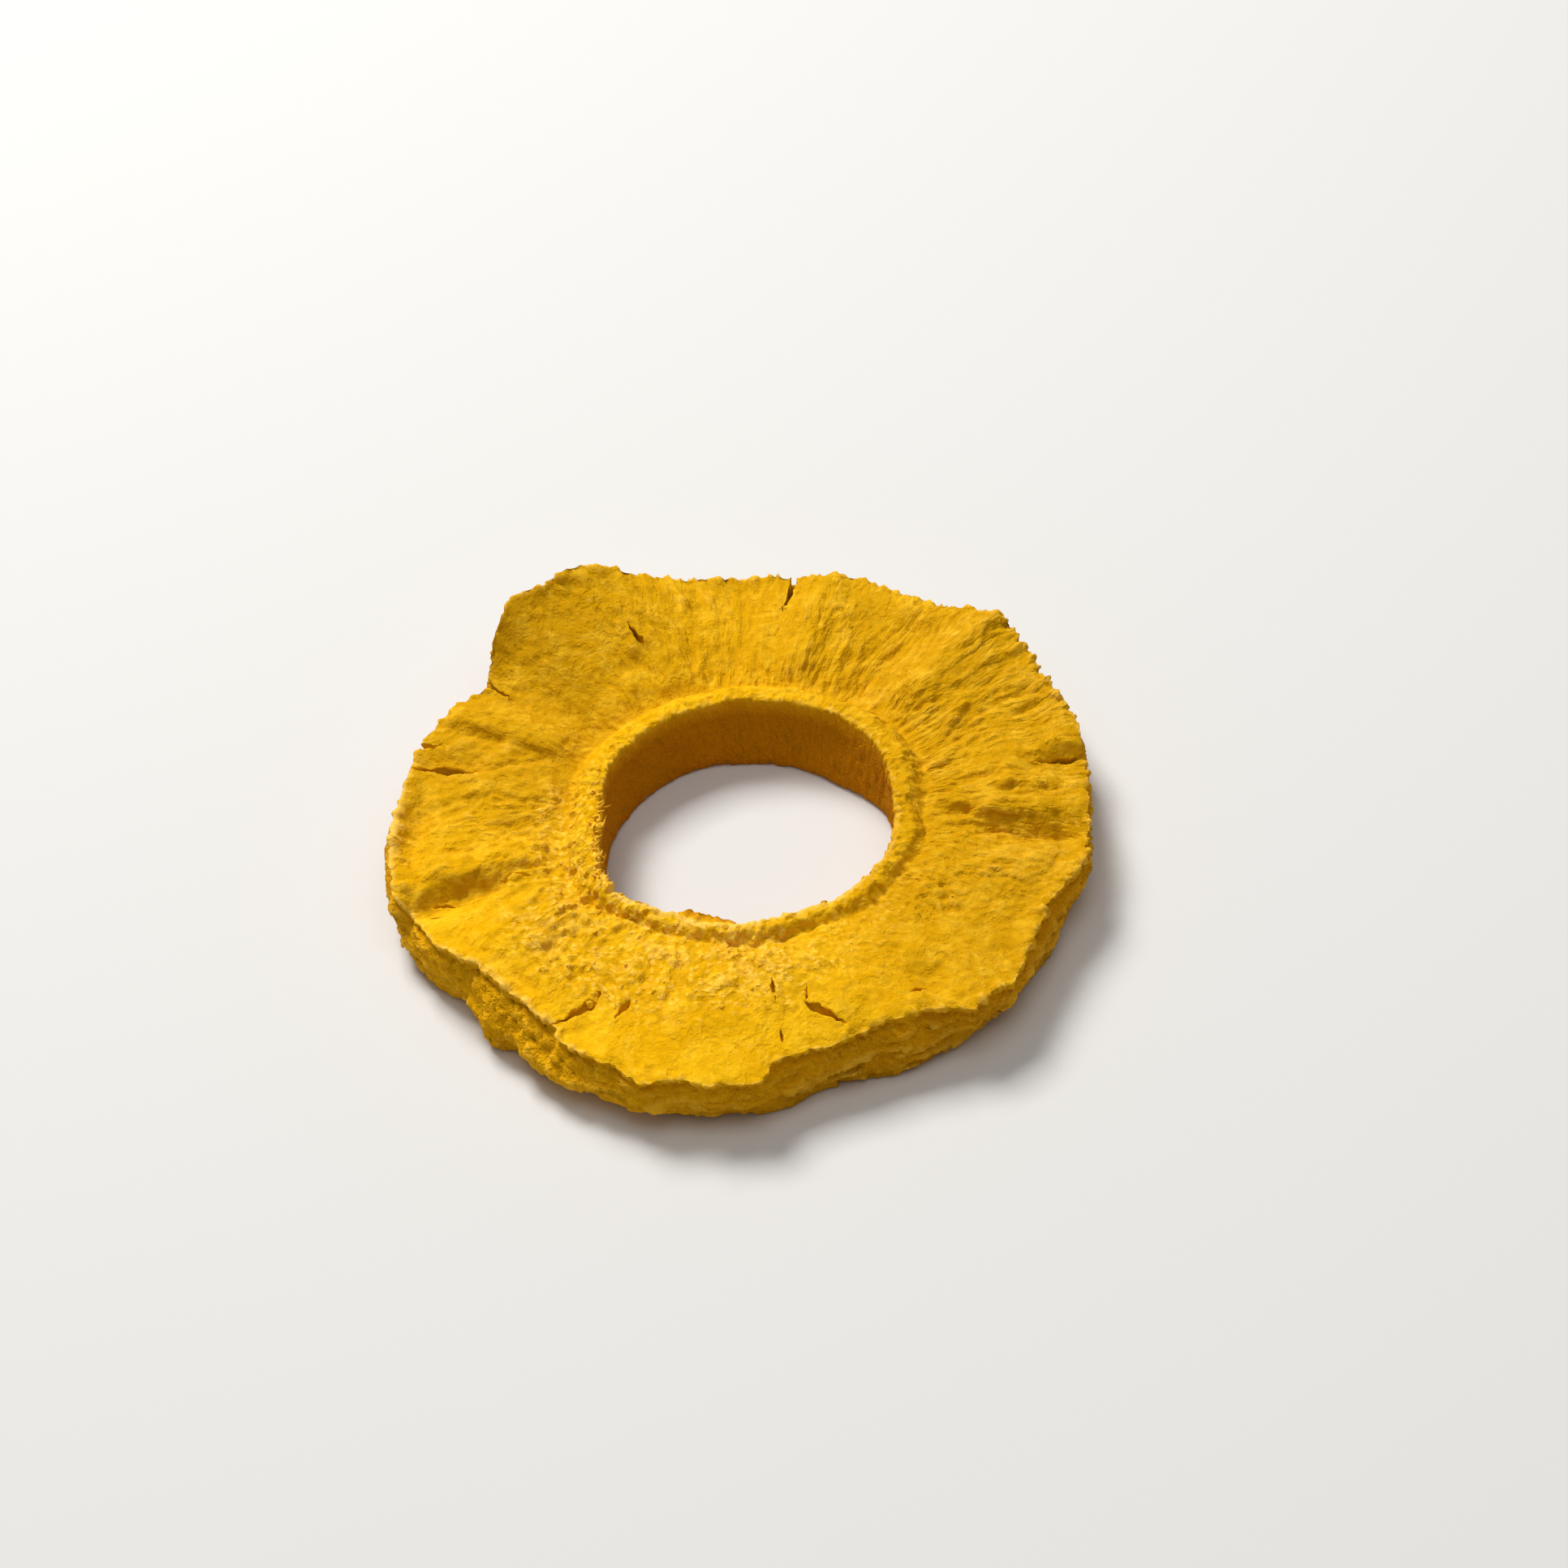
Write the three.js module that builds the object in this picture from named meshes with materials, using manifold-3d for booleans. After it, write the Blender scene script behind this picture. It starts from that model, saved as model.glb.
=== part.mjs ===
// A freeze-dried pineapple ring, lying flat with its shown face up.
//
// One closed solid: a warped ring of flesh round the cored hole, with a raised collar at the hole,
// a groove outside the collar, radial folds, a ragged outer edge and torn slits.
// Millimetres and degrees. +Z is up. Angle 0 is +X and angles run anticlockwise seen from above,
// so -90 is the front. The origin is the middle of the bounding box, at its base.

import * as THREE from "three";
import { mergeVertices } from "three/addons/utils/BufferGeometryUtils.js";
import Module from "manifold-3d";

// ---- Driving dimensions ----

const FLESH_THICKNESS = 7.3; // of the flesh, from the resting plane to the face
const COLLAR_CREST = 0.42; // of the collar's width, the share that its crest takes
const COLLAR_UNEVEN = 0.25; // of its rise, higher and lower along the collar
const SCALLOP = { span: 1.9, reach: 20, share: 0.4 }; // the crest's outer edge, in and out
const FACE_DOME = 0.9; // the face's swell between the groove and the rim
const DOME_POWER = 0.8; // under 1, the swell is highest nearer the groove
const UNDER_RECESS = 0.9; // how far the underside is drawn up between its two lands
const LAND_WIDTH = 2.8; // from the hole and from the rim, of the flats that the ring rests on
const WALL_BELLY = 0.5; // the outer wall's bulge halfway up
const UNDERCUT = { depth: 0.6, down: 0.12, spread: 0.07 }; // of the rim, as shares of the wall's height
// Where the lower part of the wall stands out as a ledge: down and spread are shares of its height.
const LEDGE = { angle: -124, round: 15, depth: 1.3, down: 0.62, spread: 0.16 };

// The collar's width, from the hole's edge to the bottom of the groove, as [angle, width] corners.
const COLLAR_WIDTH = [
  [-155, 4.0], [-141, 2.1], [-120, 2.7], [-107, 2.0], [-88, 2.9], [-70, 2.6], [-50, 3.1], [-38, 2.8],
  [-20, 4.0], [-10, 3.4], [8, 4.6], [40, 4.4], [110, 4.1], [158, 4.4], [-174, 4.8],
];
// The rise of its crest over the groove, as [angle, rise] corners.
const COLLAR_RISE = [
  [-155, 1.6], [-141, 1.2], [-107, 1.0], [-88, 1.2], [-70, 1.0], [-50, 1.2], [-20, 1.5], [10, 1.8],
  [180, 1.8],
];

// The edges in plan, as [angle, radius] corners. Between corners the edge runs straight or in a curve.
const RIM_TOP = [
  [-170, 41.3], [-166.5, 40.0], [-160, 39.4], [-154, 38.0], [-149, 36.8], [-143, 36.6], [-135, 36.6],
  [-127.5, 37.2], [-126.2, 38.5], [-121, 38.9], [-115, 39.5], [-110.5, 41.1], [-105, 40.0],
  [-99, 40.7], [-91.5, 40.5], [-89.5, 37.8], [-83, 36.7], [-68, 36.5],
  [-62.5, 37.4], [-59, 38.4], [-56, 40.5], [-52, 40.1], [-49, 41.1], [-43.5, 39.8], [-38, 38.7],
  [-31, 38.3], [-23, 39.3], [-18, 40.1], [-8, 39.5], [4, 40.0], [14, 40.9], [24, 40.3], [37, 41.8],
  [50, 40.2], [66, 41.2], [84, 39.6], [99, 40.9], [112, 41.4], [127, 42.2], [134, 40.6], [139, 38.4],
  [143, 40.0], [148, 41.0], [157, 41.4], [163, 40.6], [176, 40.9],
];
const RIM_FOOT = [
  [-178, 40.6], [-167, 40.8], [-159, 39.9], [-151, 37.6], [-146, 38.2], [-141.5, 39.3], [-136.5, 37.8],
  [-130.5, 39.0], [-120, 38.6], [-107, 39.2], [-92, 38.6], [-80, 36.6], [-63, 38.2], [-44, 38.1],
  [-23, 37.9], [0, 38.6], [25, 39.0], [55, 38.4], [88, 38.9], [120, 38.2], [150, 39.0],
];
const HOLE_TOP = [
  [-163, 17.4], [-155, 18.6], [-142, 18.8], [-130, 17.7], [-120, 17.5], [-109, 18.0], [-99, 18.1],
  [-88, 17.7], [-70, 17.5], [-59, 18.1], [-36, 18.2], [0, 17.2], [35, 17.8], [70, 17.4], [100, 17.5],
  [142, 17.6], [176, 16.3],
];
const HOLE_FOOT = [
  [-150, 17.4], [-90, 18.0], [-30, 17.6], [10, 17.0], [45, 15.2], [80, 15.4], [110, 16.4], [150, 16.4],
];

// The fillets where the face, the walls and the underside meet.
const FILLET = { collar: 0.55, rim: 0.2, foot: 1.1, holeFoot: 0.8 };

// Where drying has curled the slice up off the resting plane: most at the rim, and none at the collar.
// edge is how steeply the lift ends on either side: 2 is a bell, and more is flatter with steep sides.
const LIFTS = [
  { angle: 121, spread: 13, edge: 3.4, height: 7.6 },
  { angle: 92, spread: 22, edge: 2, height: 1.6 },
  { angle: 36, spread: 12, edge: 2, height: 2.6 },
  { angle: 168, spread: 18, edge: 2, height: 0.9 },
];
const LIFT_POWER = 1.5;

// Where the rim's edge stands up in a thin dried lip, with a dip inside it.
const RIM_LIPS = [
  { angle: 176, spread: 10, width: 1.7, rise: 1.1 },
  { angle: -141, spread: 11, width: 1.3, rise: 0.6 },
  { angle: -30, spread: 15, width: 1.7, rise: 0.5 },
];

// Broad folds of the face. Each runs outwards from one radius to another, and height is signed. lean is
// how much wider its anticlockwise side is and its clockwise side narrower, as a share of the width.
const FOLDS = [
  { angle: 134, from: 21, to: 40, width: 3.2, height: -1.5, lean: 0 },
  { angle: 121, from: 26, to: 42, width: 2.6, height: -0.8, lean: 0 },
  { angle: 50, from: 20, to: 37, width: 3.0, height: -1.7, lean: 0 },
  { angle: 37, from: 25, to: 42, width: 2.0, height: 1.1, lean: 0 },
  { angle: 18, from: 24, to: 38, width: 2.6, height: -0.5, lean: 0 },
  { angle: 4.4, from: 33, to: 42, width: 1.3, height: -1.1, lean: -0.5 },
  { angle: -2, from: 27, to: 36, width: 0.9, height: 0.5, lean: 0.6 },
  { angle: -9.5, from: 27, to: 40, width: 1.1, height: 0.9, lean: 0.5 },
  { angle: -14.5, from: 27, to: 39, width: 1.4, height: -1.2, lean: -0.4 },
  { angle: -38, from: 27, to: 36, width: 2.8, height: -0.5, lean: 0 },
  { angle: -57.5, from: 32, to: 36, width: 1.6, height: -0.9, lean: 0.3 },
  { angle: -62.5, from: 34, to: 37, width: 1.1, height: 0.6, lean: 0 },
  { angle: -74, from: 29, to: 35, width: 1.5, height: 0.7, lean: 0 },
  { angle: -100, from: 24, to: 34, width: 3.5, height: 0.5, lean: 0 },
  { angle: -124, from: 30, to: 38, width: 2.2, height: -0.6, lean: 0 },
  { angle: -150, from: 24, to: 37, width: 3.0, height: 0.7, lean: 0 },
  { angle: -162, from: 30, to: 40, width: 1.3, height: 0.4, lean: 0 },
  { angle: -167, from: 29, to: 41, width: 1.7, height: -1.7, lean: 0.4 },
  { angle: -174, from: 24, to: 40, width: 1.6, height: 0.7, lean: 0.4 },
  { angle: 174, from: 35, to: 40, width: 1.5, height: -0.8, lean: 0 },
  { angle: 175, from: 24, to: 29, width: 1.0, height: -0.6, lean: 0.5 },
  { angle: 160.2, from: 32, to: 42, width: 1.5, height: -1.4, lean: -0.7 },
  { angle: 153.8, from: 30, to: 42, width: 1.1, height: 0.4, lean: 0 },
  { angle: 148.5, from: 24, to: 40, width: 2.2, height: 1.3, lean: -0.75 },
  { angle: 104, from: 23, to: 40, width: 2.4, height: 0.9, lean: 0 },
  { angle: 88, from: 22, to: 39, width: 3.0, height: -0.9, lean: 0 },
  { angle: 70, from: 24, to: 41, width: 2.2, height: 0.8, lean: 0 },
];

// Torn slits of the face: middle at (angle, radius), heading turned from the outward direction.
const SLITS = [
  { angle: 159.3, radius: 36.6, length: 9.0, width: 1.5, depth: 2.6, heading: 5 },
  { angle: 155, radius: 40.2, length: 3.4, width: 0.8, depth: 1.5, heading: 10 },
  { angle: 139, radius: 37.4, length: 6.4, width: 1.2, depth: 2.6, heading: -3 },
  { angle: -127, radius: 34.4, length: 5.8, width: 1.5, depth: 0.8, heading: -27 },
  { angle: -118.5, radius: 32.2, length: 3.0, width: 1.1, depth: 0.7, heading: -11 },
  { angle: -87.5, radius: 28.4, length: 3.4, width: 0.6, depth: 1.0, heading: 0 },
  { angle: -78.3, radius: 32.9, length: 6.2, width: 1.2, depth: 1.4, heading: 38 },
  { angle: -80.8, radius: 29.3, length: 2.6, width: 0.6, depth: 0.9, heading: -16 },
  { angle: 4.9, radius: 37.7, length: 8.2, width: 1.2, depth: 2.6, heading: 3 },
  { angle: 77, radius: 37.0, length: 7.4, width: 1.2, depth: 3.0, heading: -4 },
  { angle: 110, radius: 31.0, length: 4.0, width: 0.9, depth: 1.8, heading: 12 },
];

// The relief: radial wrinkles on the faces, crags on the walls and unevenness of the edges. A span is
// the distance between two like places, at the reach from the middle where it is measured.
const WRINKLE = { span: 2.6, reach: 30, along: 11, depth: 0.42 };
const CRAG = { span: 3.4, layer: 2.2, depth: 0.5 };
const RAGGED = { span: 2.3, reach: 40, depth: 0.45 };
const COLLAR_LUMPS = { span: 4.0, reach: 18 };

// The grid: steps round the ring, and steps along each stretch of the section.
const STEPS_ROUND = 180;
const SECTION = { face: 12, rim: 1, wall: 4, foot: 1, land: 1, recess: 4, holeFoot: 1, hole: 3, collar: 1 };

// ---- Small helpers ----

const radians = THREE.MathUtils.degToRad;
const mix = THREE.MathUtils.lerp;
const clamp01 = (x) => Math.min(1, Math.max(0, x));
const smooth = (x) => clamp01(x) ** 2 * (3 - 2 * clamp01(x));
const bell = (x) => Math.exp(-0.5 * x * x);
const turnBetween = (a, b) => ((((a - b + 180) % 360) + 360) % 360) - 180;

// A repeatable number from 0 to 1 for a lattice point.
function lattice(i, j, k) {
  const s = Math.sin(i * 127.1 + j * 311.7 + k * 74.7) * 43758.5453;
  return s - Math.floor(s);
}

// Smooth noise from -1 to 1, one bump to a unit.
function noise(x, y, z) {
  const [i, j, k] = [Math.floor(x), Math.floor(y), Math.floor(z)];
  const [u, v, w] = [smooth(x - i), smooth(y - j), smooth(z - k)];
  const row = (b, c) => mix(lattice(i, b, c), lattice(i + 1, b, c), u);
  const low = mix(row(j, k), row(j + 1, k), v);
  const high = mix(row(j, k + 1), row(j + 1, k + 1), v);
  return 2 * mix(low, high, w) - 1;
}

// Two octaves of it.
function roughness(x, y, z) {
  return (noise(x, y, z) + 0.5 * noise(2 * x + 7, 2 * y + 3, 2 * z + 5)) / 1.5;
}

// Roughness that runs round the ring without a seam. across changes it from place to place.
function roughRound(angle, reach, span, across) {
  const a = radians(angle);
  return roughness((reach / span) * Math.cos(a), (reach / span) * Math.sin(a), across);
}

// An edge's radius, or another size, at an angle, between its two nearest corners. blend shapes the way.
function edgeRadius(corners, angle, blend) {
  for (let i = 0; i < corners.length; i++) {
    const [a, ra] = corners[i];
    const [b, rb] = corners[(i + 1) % corners.length];
    const span = (b - a + 360) % 360;
    const along = (angle - a + 720) % 360;
    if (along <= span) return mix(ra, rb, blend(along / span));
  }
  throw new Error("the corners don't go all the way round");
}

// ---- The ring's form ----

// The four corners of the section at an angle, in plan, and the collar's width and rise there.
function edgesAt(angle) {
  const ragged = (seed) => RAGGED.depth * roughRound(angle, RAGGED.reach, RAGGED.span, seed);
  return {
    rimTop: edgeRadius(RIM_TOP, angle, (t) => t) + ragged(1.5),
    rimFoot: edgeRadius(RIM_FOOT, angle, smooth) + 0.7 * ragged(9.5),
    holeTop: edgeRadius(HOLE_TOP, angle, smooth) + 0.35 * ragged(17.5),
    holeFoot: edgeRadius(HOLE_FOOT, angle, smooth) + 0.35 * ragged(25.5),
    collar: edgeRadius(COLLAR_WIDTH, angle, smooth),
    collarRise: edgeRadius(COLLAR_RISE, angle, smooth),
  };
}

// How far out a point is on the flesh: 0 at the groove and further in, and 1 at the rim.
function acrossFlesh(radius, edges) {
  const groove = edges.holeTop + edges.collar;
  return clamp01((radius - groove) / (edges.rimTop - groove));
}

// How far the slice has curled up at a point.
function liftAt(angle, radius, edges) {
  const away = (l) => Math.abs(turnBetween(angle, l.angle)) / l.spread;
  const height = LIFTS.reduce((sum, l) => sum + l.height * Math.exp(-0.5 * away(l) ** l.edge), 0);
  return height * acrossFlesh(radius, edges) ** LIFT_POWER;
}

// How far the rim's dried lips stand up at a point.
function lipsAt(angle, radius, edges) {
  return RIM_LIPS.reduce((sum, lip) => {
    const away = turnBetween(angle, lip.angle) / lip.spread;
    const inward = (edges.rimTop - radius) / lip.width;
    const edge = smooth(1.2 - inward) - 0.5 * bell((inward - 1.7) / 0.4);
    return sum + lip.rise * bell(away) * edge;
  }, 0);
}

// The broad folds' height at a point. Each fades in and out over an ease at its ends.
function foldsAt(angle, radius) {
  const ease = 4;
  return FOLDS.reduce((sum, f) => {
    const across = (radians(turnBetween(angle, f.angle)) * radius) / f.width;
    const side = across > 0 ? 1 + f.lean : 1 - f.lean;
    const ends = smooth((radius - f.from) / ease + 0.5) * smooth((f.to - radius) / ease + 0.5);
    return sum + f.height * bell(across / side) * ends;
  }, 0);
}

// Radial wrinkles: noise that is drawn out along the radius.
function wrinklesAt(angle, radius, seed) {
  return WRINKLE.depth * roughRound(angle, WRINKLE.reach, WRINKLE.span, radius / WRINKLE.along + seed);
}

// Height of the face: groove, collar, dome, folds, lips and wrinkles on the curled slice.
function faceHeight(angle, radius, edges) {
  const fromHole = radius - edges.holeTop;
  const width = edges.collar;
  const dome = FACE_DOME * Math.sin(Math.PI * acrossFlesh(radius, edges) ** DOME_POWER);
  const scallop = 1 + SCALLOP.share * roughRound(angle, SCALLOP.reach, SCALLOP.span, 49.5);
  const crest = COLLAR_CREST * width * scallop;
  const uneven = COLLAR_UNEVEN * roughRound(angle, COLLAR_LUMPS.reach, COLLAR_LUMPS.span, 33.5);
  const collar = edges.collarRise * (1 + uneven) * (1 - smooth((fromHole - crest) / (width - crest)));
  const onFlesh = smooth(fromHole / width - 0.6);
  const relief = foldsAt(angle, radius) + wrinklesAt(angle, radius, 0.5);
  const rise = liftAt(angle, radius, edges) + lipsAt(angle, radius, edges);
  return FLESH_THICKNESS + rise + dome + collar + onFlesh * relief;
}

// Height of the underside: flat lands at the hole and the rim, drawn up between them.
function underHeight(angle, radius, edges) {
  const inward = Math.min(radius - edges.holeFoot, edges.rimFoot - radius) - LAND_WIDTH;
  const drawnUp = smooth(inward / LAND_WIDTH) * (UNDER_RECESS + 0.8 * wrinklesAt(angle, radius, 40.5));
  return Math.max(0, drawnUp) + liftAt(angle, radius, edges);
}

// Crags of a wall, in layers that run round the ring.
function cragsAt(angle, radius, height, seed) {
  return CRAG.depth * roughRound(angle, radius, CRAG.span, height / CRAG.layer + seed);
}

// A quadratic curve from one point to another, drawn towards a corner.
function fillet(from, corner, to, t) {
  const at = (i) => (1 - t) ** 2 * from[i] + 2 * t * (1 - t) * corner[i] + t * t * to[i];
  return [at(0), at(1)];
}

// The closed section at an angle, as [radius, height] points: out along the face, down the outer
// wall, in along the underside and up the wall of the hole.
function sectionAt(angle) {
  const e = edgesAt(angle);
  const face = (r) => [r, faceHeight(angle, r, e)];
  const under = (r) => [r, underHeight(angle, r, e)];
  const steps = (count, point) => Array.from({ length: count }, (_, i) => point(i / count));

  const rimCorner = face(e.rimTop);
  const footCorner = under(e.rimFoot);
  const wall = (t) => {
    const height = mix(rimCorner[1] - FILLET.rim, footCorner[1] + FILLET.foot, t);
    const bulge = Math.sin(Math.PI * t) * (WALL_BELLY + cragsAt(angle, e.rimTop, height, 60.5));
    const undercut = UNDERCUT.depth * bell((t - UNDERCUT.down) / UNDERCUT.spread);
    const round = bell(turnBetween(angle, LEDGE.angle) / LEDGE.round);
    const ledge = LEDGE.depth * bell((t - LEDGE.down) / LEDGE.spread) * round;
    return [mix(e.rimTop, e.rimFoot, t) + bulge - undercut + ledge, height];
  };
  const holeFootCorner = under(e.holeFoot);
  const collarCorner = face(e.holeTop);
  const hole = (t) => {
    const height = mix(holeFootCorner[1] + FILLET.holeFoot, collarCorner[1] - FILLET.collar, t);
    const bulge = 0.5 * Math.sin(Math.PI * t) * cragsAt(angle, e.holeTop, height, 80.5);
    return [mix(e.holeFoot, e.holeTop, t) + bulge, height];
  };

  const faceFrom = e.holeTop + FILLET.collar;
  const faceTo = e.rimTop - FILLET.rim;
  const underFrom = e.rimFoot - FILLET.foot;
  const recessFrom = e.rimFoot - LAND_WIDTH;
  const recessTo = e.holeFoot + LAND_WIDTH;
  const underTo = e.holeFoot + FILLET.holeFoot;
  return [
    ...steps(SECTION.face, (t) => face(mix(faceFrom, faceTo, t ** 1.2))),
    ...steps(SECTION.rim, (t) => fillet(face(faceTo), rimCorner, wall(0), t)),
    ...steps(SECTION.wall, wall),
    ...steps(SECTION.foot, (t) => fillet(wall(1), footCorner, under(underFrom), t)),
    ...steps(SECTION.land, (t) => under(mix(underFrom, recessFrom, t))),
    ...steps(SECTION.recess, (t) => under(mix(recessFrom, recessTo, t))),
    ...steps(SECTION.land, (t) => under(mix(recessTo, underTo, t))),
    ...steps(SECTION.holeFoot, (t) => fillet(under(underTo), holeFootCorner, hole(0), t)),
    ...steps(SECTION.hole, hole),
    ...steps(SECTION.collar, (t) => fillet(hole(1), collarCorner, face(faceFrom), t)),
  ];
}

// The ring's skin: one section to each step round, joined into a closed mesh.
function ringGeometry() {
  const sections = Array.from({ length: STEPS_ROUND }, (_, i) => sectionAt((360 * i) / STEPS_ROUND - 180));
  const count = sections[0].length;
  const position = sections.flatMap((section, i) => {
    const a = radians((360 * i) / STEPS_ROUND - 180);
    return section.flatMap(([r, z]) => [r * Math.cos(a), r * Math.sin(a), z]);
  });
  const index = [];
  for (let i = 0; i < STEPS_ROUND; i++)
    for (let j = 0; j < count; j++) {
      const next = (i + 1) % STEPS_ROUND;
      const after = (j + 1) % count;
      const [a, b] = [i * count + j, next * count + j];
      const [c, d] = [next * count + after, i * count + after];
      index.push(a, c, b, a, d, c);
    }
  return new THREE.BufferGeometry()
    .setAttribute("position", new THREE.Float32BufferAttribute(position, 3))
    .setIndex(index);
}

// A slit's cutter: a long cone that stands on the face and narrows downwards.
function slitCutter(slit) {
  const above = 3;
  const corners = 10;
  const height = slit.depth + above;
  const edges = edgesAt(slit.angle);
  const top = faceHeight(slit.angle, Math.min(slit.radius, edges.rimTop), edges);
  const a = radians(slit.angle);
  // The cone's side reaches the slit's own length and width where it crosses the face.
  const atFace = 0.15 + (0.85 * slit.depth) / height;
  return new THREE.CylinderGeometry(1, 0.15, height, corners)
    .rotateX(Math.PI / 2)
    .scale(slit.length / 2 / atFace, slit.width / 2 / atFace, 1)
    .rotateZ(a + radians(slit.heading))
    .translate(slit.radius * Math.cos(a), slit.radius * Math.sin(a), top - slit.depth + height / 2);
}

// ---- Cutting, with manifold-3d ----

const wasm = await Module();
wasm.setup();

function toSolid(geometry) {
  const bare = geometry.clone();
  bare.deleteAttribute("normal");
  bare.deleteAttribute("uv");
  const merged = mergeVertices(bare, 1e-4);
  return new wasm.Manifold(
    new wasm.Mesh({
      numProp: 3,
      vertProperties: new Float32Array(merged.attributes.position.array),
      triVerts: new Uint32Array(merged.index.array),
    }),
  );
}

function toGeometry(solid) {
  const mesh = solid.getMesh();
  return new THREE.BufferGeometry()
    .setAttribute("position", new THREE.BufferAttribute(mesh.vertProperties, 3))
    .setIndex(new THREE.BufferAttribute(mesh.triVerts, 1));
}

const whole = toSolid(ringGeometry());
const torn = SLITS.reduce((solid, slit) => solid.subtract(toSolid(slitCutter(slit))), whole);

// Stand it on its lands, with the bounding box's middle over the origin.
const geometry = toGeometry(torn);
geometry.computeBoundingBox();
const { min, max } = geometry.boundingBox;
geometry.translate(-(min.x + max.x) / 2, -(min.y + max.y) / 2, -min.z);
geometry.computeVertexNormals();

const driedFlesh = new THREE.MeshStandardMaterial({ color: 0xe8ac14, roughness: 0.9, metalness: 0 });
const ring = new THREE.Mesh(geometry, driedFlesh);
ring.name = "pineapple_ring";

const group = new THREE.Group();
group.name = "dried_pineapple_ring";
group.add(ring);
export default group;
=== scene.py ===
"""A freeze-dried pineapple ring on a pale table under a soft studio light.

The ring is one warped slice of flesh round a cored hole. Its form is worked out in millimetres and
degrees from named sizes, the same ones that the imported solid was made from. Angle 0 is +X and angles
run anticlockwise seen from above, so -90 is the front. Geometry Nodes then raise the fine relief on
it (mounds, granules, flakes, ridges, pores and layers), sow it with grains of flesh and grow the few
torn fibres at the left of the hole's edge.
"""

import math

import bpy
import numpy as np
from mathutils import Matrix, Vector


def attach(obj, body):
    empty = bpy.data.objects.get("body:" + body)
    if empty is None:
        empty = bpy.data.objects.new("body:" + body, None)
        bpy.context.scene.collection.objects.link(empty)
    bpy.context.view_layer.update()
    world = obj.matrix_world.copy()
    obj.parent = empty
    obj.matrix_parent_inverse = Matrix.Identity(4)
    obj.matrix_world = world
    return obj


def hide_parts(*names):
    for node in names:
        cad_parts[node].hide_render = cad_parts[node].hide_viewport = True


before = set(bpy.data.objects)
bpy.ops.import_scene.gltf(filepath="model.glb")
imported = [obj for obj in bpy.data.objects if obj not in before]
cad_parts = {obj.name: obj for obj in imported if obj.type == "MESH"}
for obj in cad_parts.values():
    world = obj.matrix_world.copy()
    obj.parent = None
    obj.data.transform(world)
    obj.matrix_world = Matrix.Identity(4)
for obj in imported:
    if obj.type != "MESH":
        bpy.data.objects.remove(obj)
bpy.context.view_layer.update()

MM = 0.001
NODE = "pineapple_ring"

# ---- The ring's sizes, in millimetres and degrees ----

FLESH_THICKNESS = 7.3  # of the flesh, from the resting plane to the face
COLLAR_CREST = 0.42  # of the collar's width, the share that its crest takes
COLLAR_UNEVEN = 0.25  # of its rise, higher and lower along the collar
SCALLOP = {"span": 1.9, "reach": 20, "share": 0.4}  # the crest's outer edge, in and out
FACE_DOME = 0.9  # the face's swell between the groove and the rim
DOME_POWER = 0.8  # under 1, the swell is highest nearer the groove
UNDER_RECESS = 0.9  # how far the underside is drawn up between its two lands
LAND_WIDTH = 2.8  # from the hole and from the rim, of the flats that the ring rests on
WALL_BELLY = 0.5  # the outer wall's bulge halfway up
UNDERCUT = {"depth": 0.6, "down": 0.12, "spread": 0.07}  # of the rim, as shares of the wall's height
# Where the lower part of the wall stands out as a ledge: its angle, its spread round the ring and its
# depth, and where it is and its spread as shares of the wall's height.
LEDGE = {"angle": -124, "round": 15, "depth": 1.3, "down": 0.62, "spread": 0.16}
# A thin torn layer that stands out into the hole just under the collar: the angles that it runs between
# and fades over, its reach and how uneven that is, and its place and spread in the hole's height.
TORN_LAYER = {"from": -122, "fades_in": 4, "to": -94, "fades_out": 7, "reach": 2.0, "uneven": 0.25,
              "span": 1.3, "up": 0.90, "spread": 0.07}

# The collar's width, from the hole's edge to the bottom of the groove, as (angle, width) corners.
COLLAR_WIDTH = [
    (-155, 4.0), (-141, 2.1), (-120, 2.7), (-107, 2.0), (-88, 2.9), (-70, 2.6), (-50, 3.1), (-38, 2.8),
    (-20, 4.0), (-10, 3.4), (8, 4.6), (40, 4.4), (110, 4.1), (158, 4.4), (-174, 4.8),
]
# The rise of its crest over the groove, as (angle, rise) corners.
COLLAR_RISE = [
    (-155, 1.6), (-141, 1.2), (-107, 1.0), (-88, 1.2), (-70, 1.0), (-50, 1.2), (-20, 1.5), (10, 1.8),
    (180, 1.8),
]

# The edges in plan, as (angle, radius) corners.
RIM_TOP = [
    (-170, 41.3), (-166.5, 40.0), (-160, 39.4), (-154, 38.0), (-149, 36.8), (-143, 36.6), (-135, 36.6),
    (-127.5, 37.2), (-126.2, 38.5), (-121, 38.9), (-115, 39.5), (-110.5, 41.1), (-105, 40.0),
    (-99, 40.7), (-91.5, 40.5), (-89.5, 37.8), (-83, 36.7), (-68, 36.5),
    (-62.5, 37.4), (-59, 38.4), (-56, 40.5), (-52, 40.1), (-49, 41.1), (-43.5, 39.8), (-38, 38.7),
    (-31, 38.3), (-23, 39.3), (-18, 40.1), (-8, 39.5), (4, 40.0), (14, 40.9), (24, 40.3), (37, 41.8),
    (50, 40.2), (66, 41.2), (84, 39.6), (99, 40.9), (112, 41.4), (127, 42.2), (134, 40.6), (139, 38.4),
    (143, 40.0), (148, 41.0), (157, 41.4), (163, 40.6), (176, 40.9),
]
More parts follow.
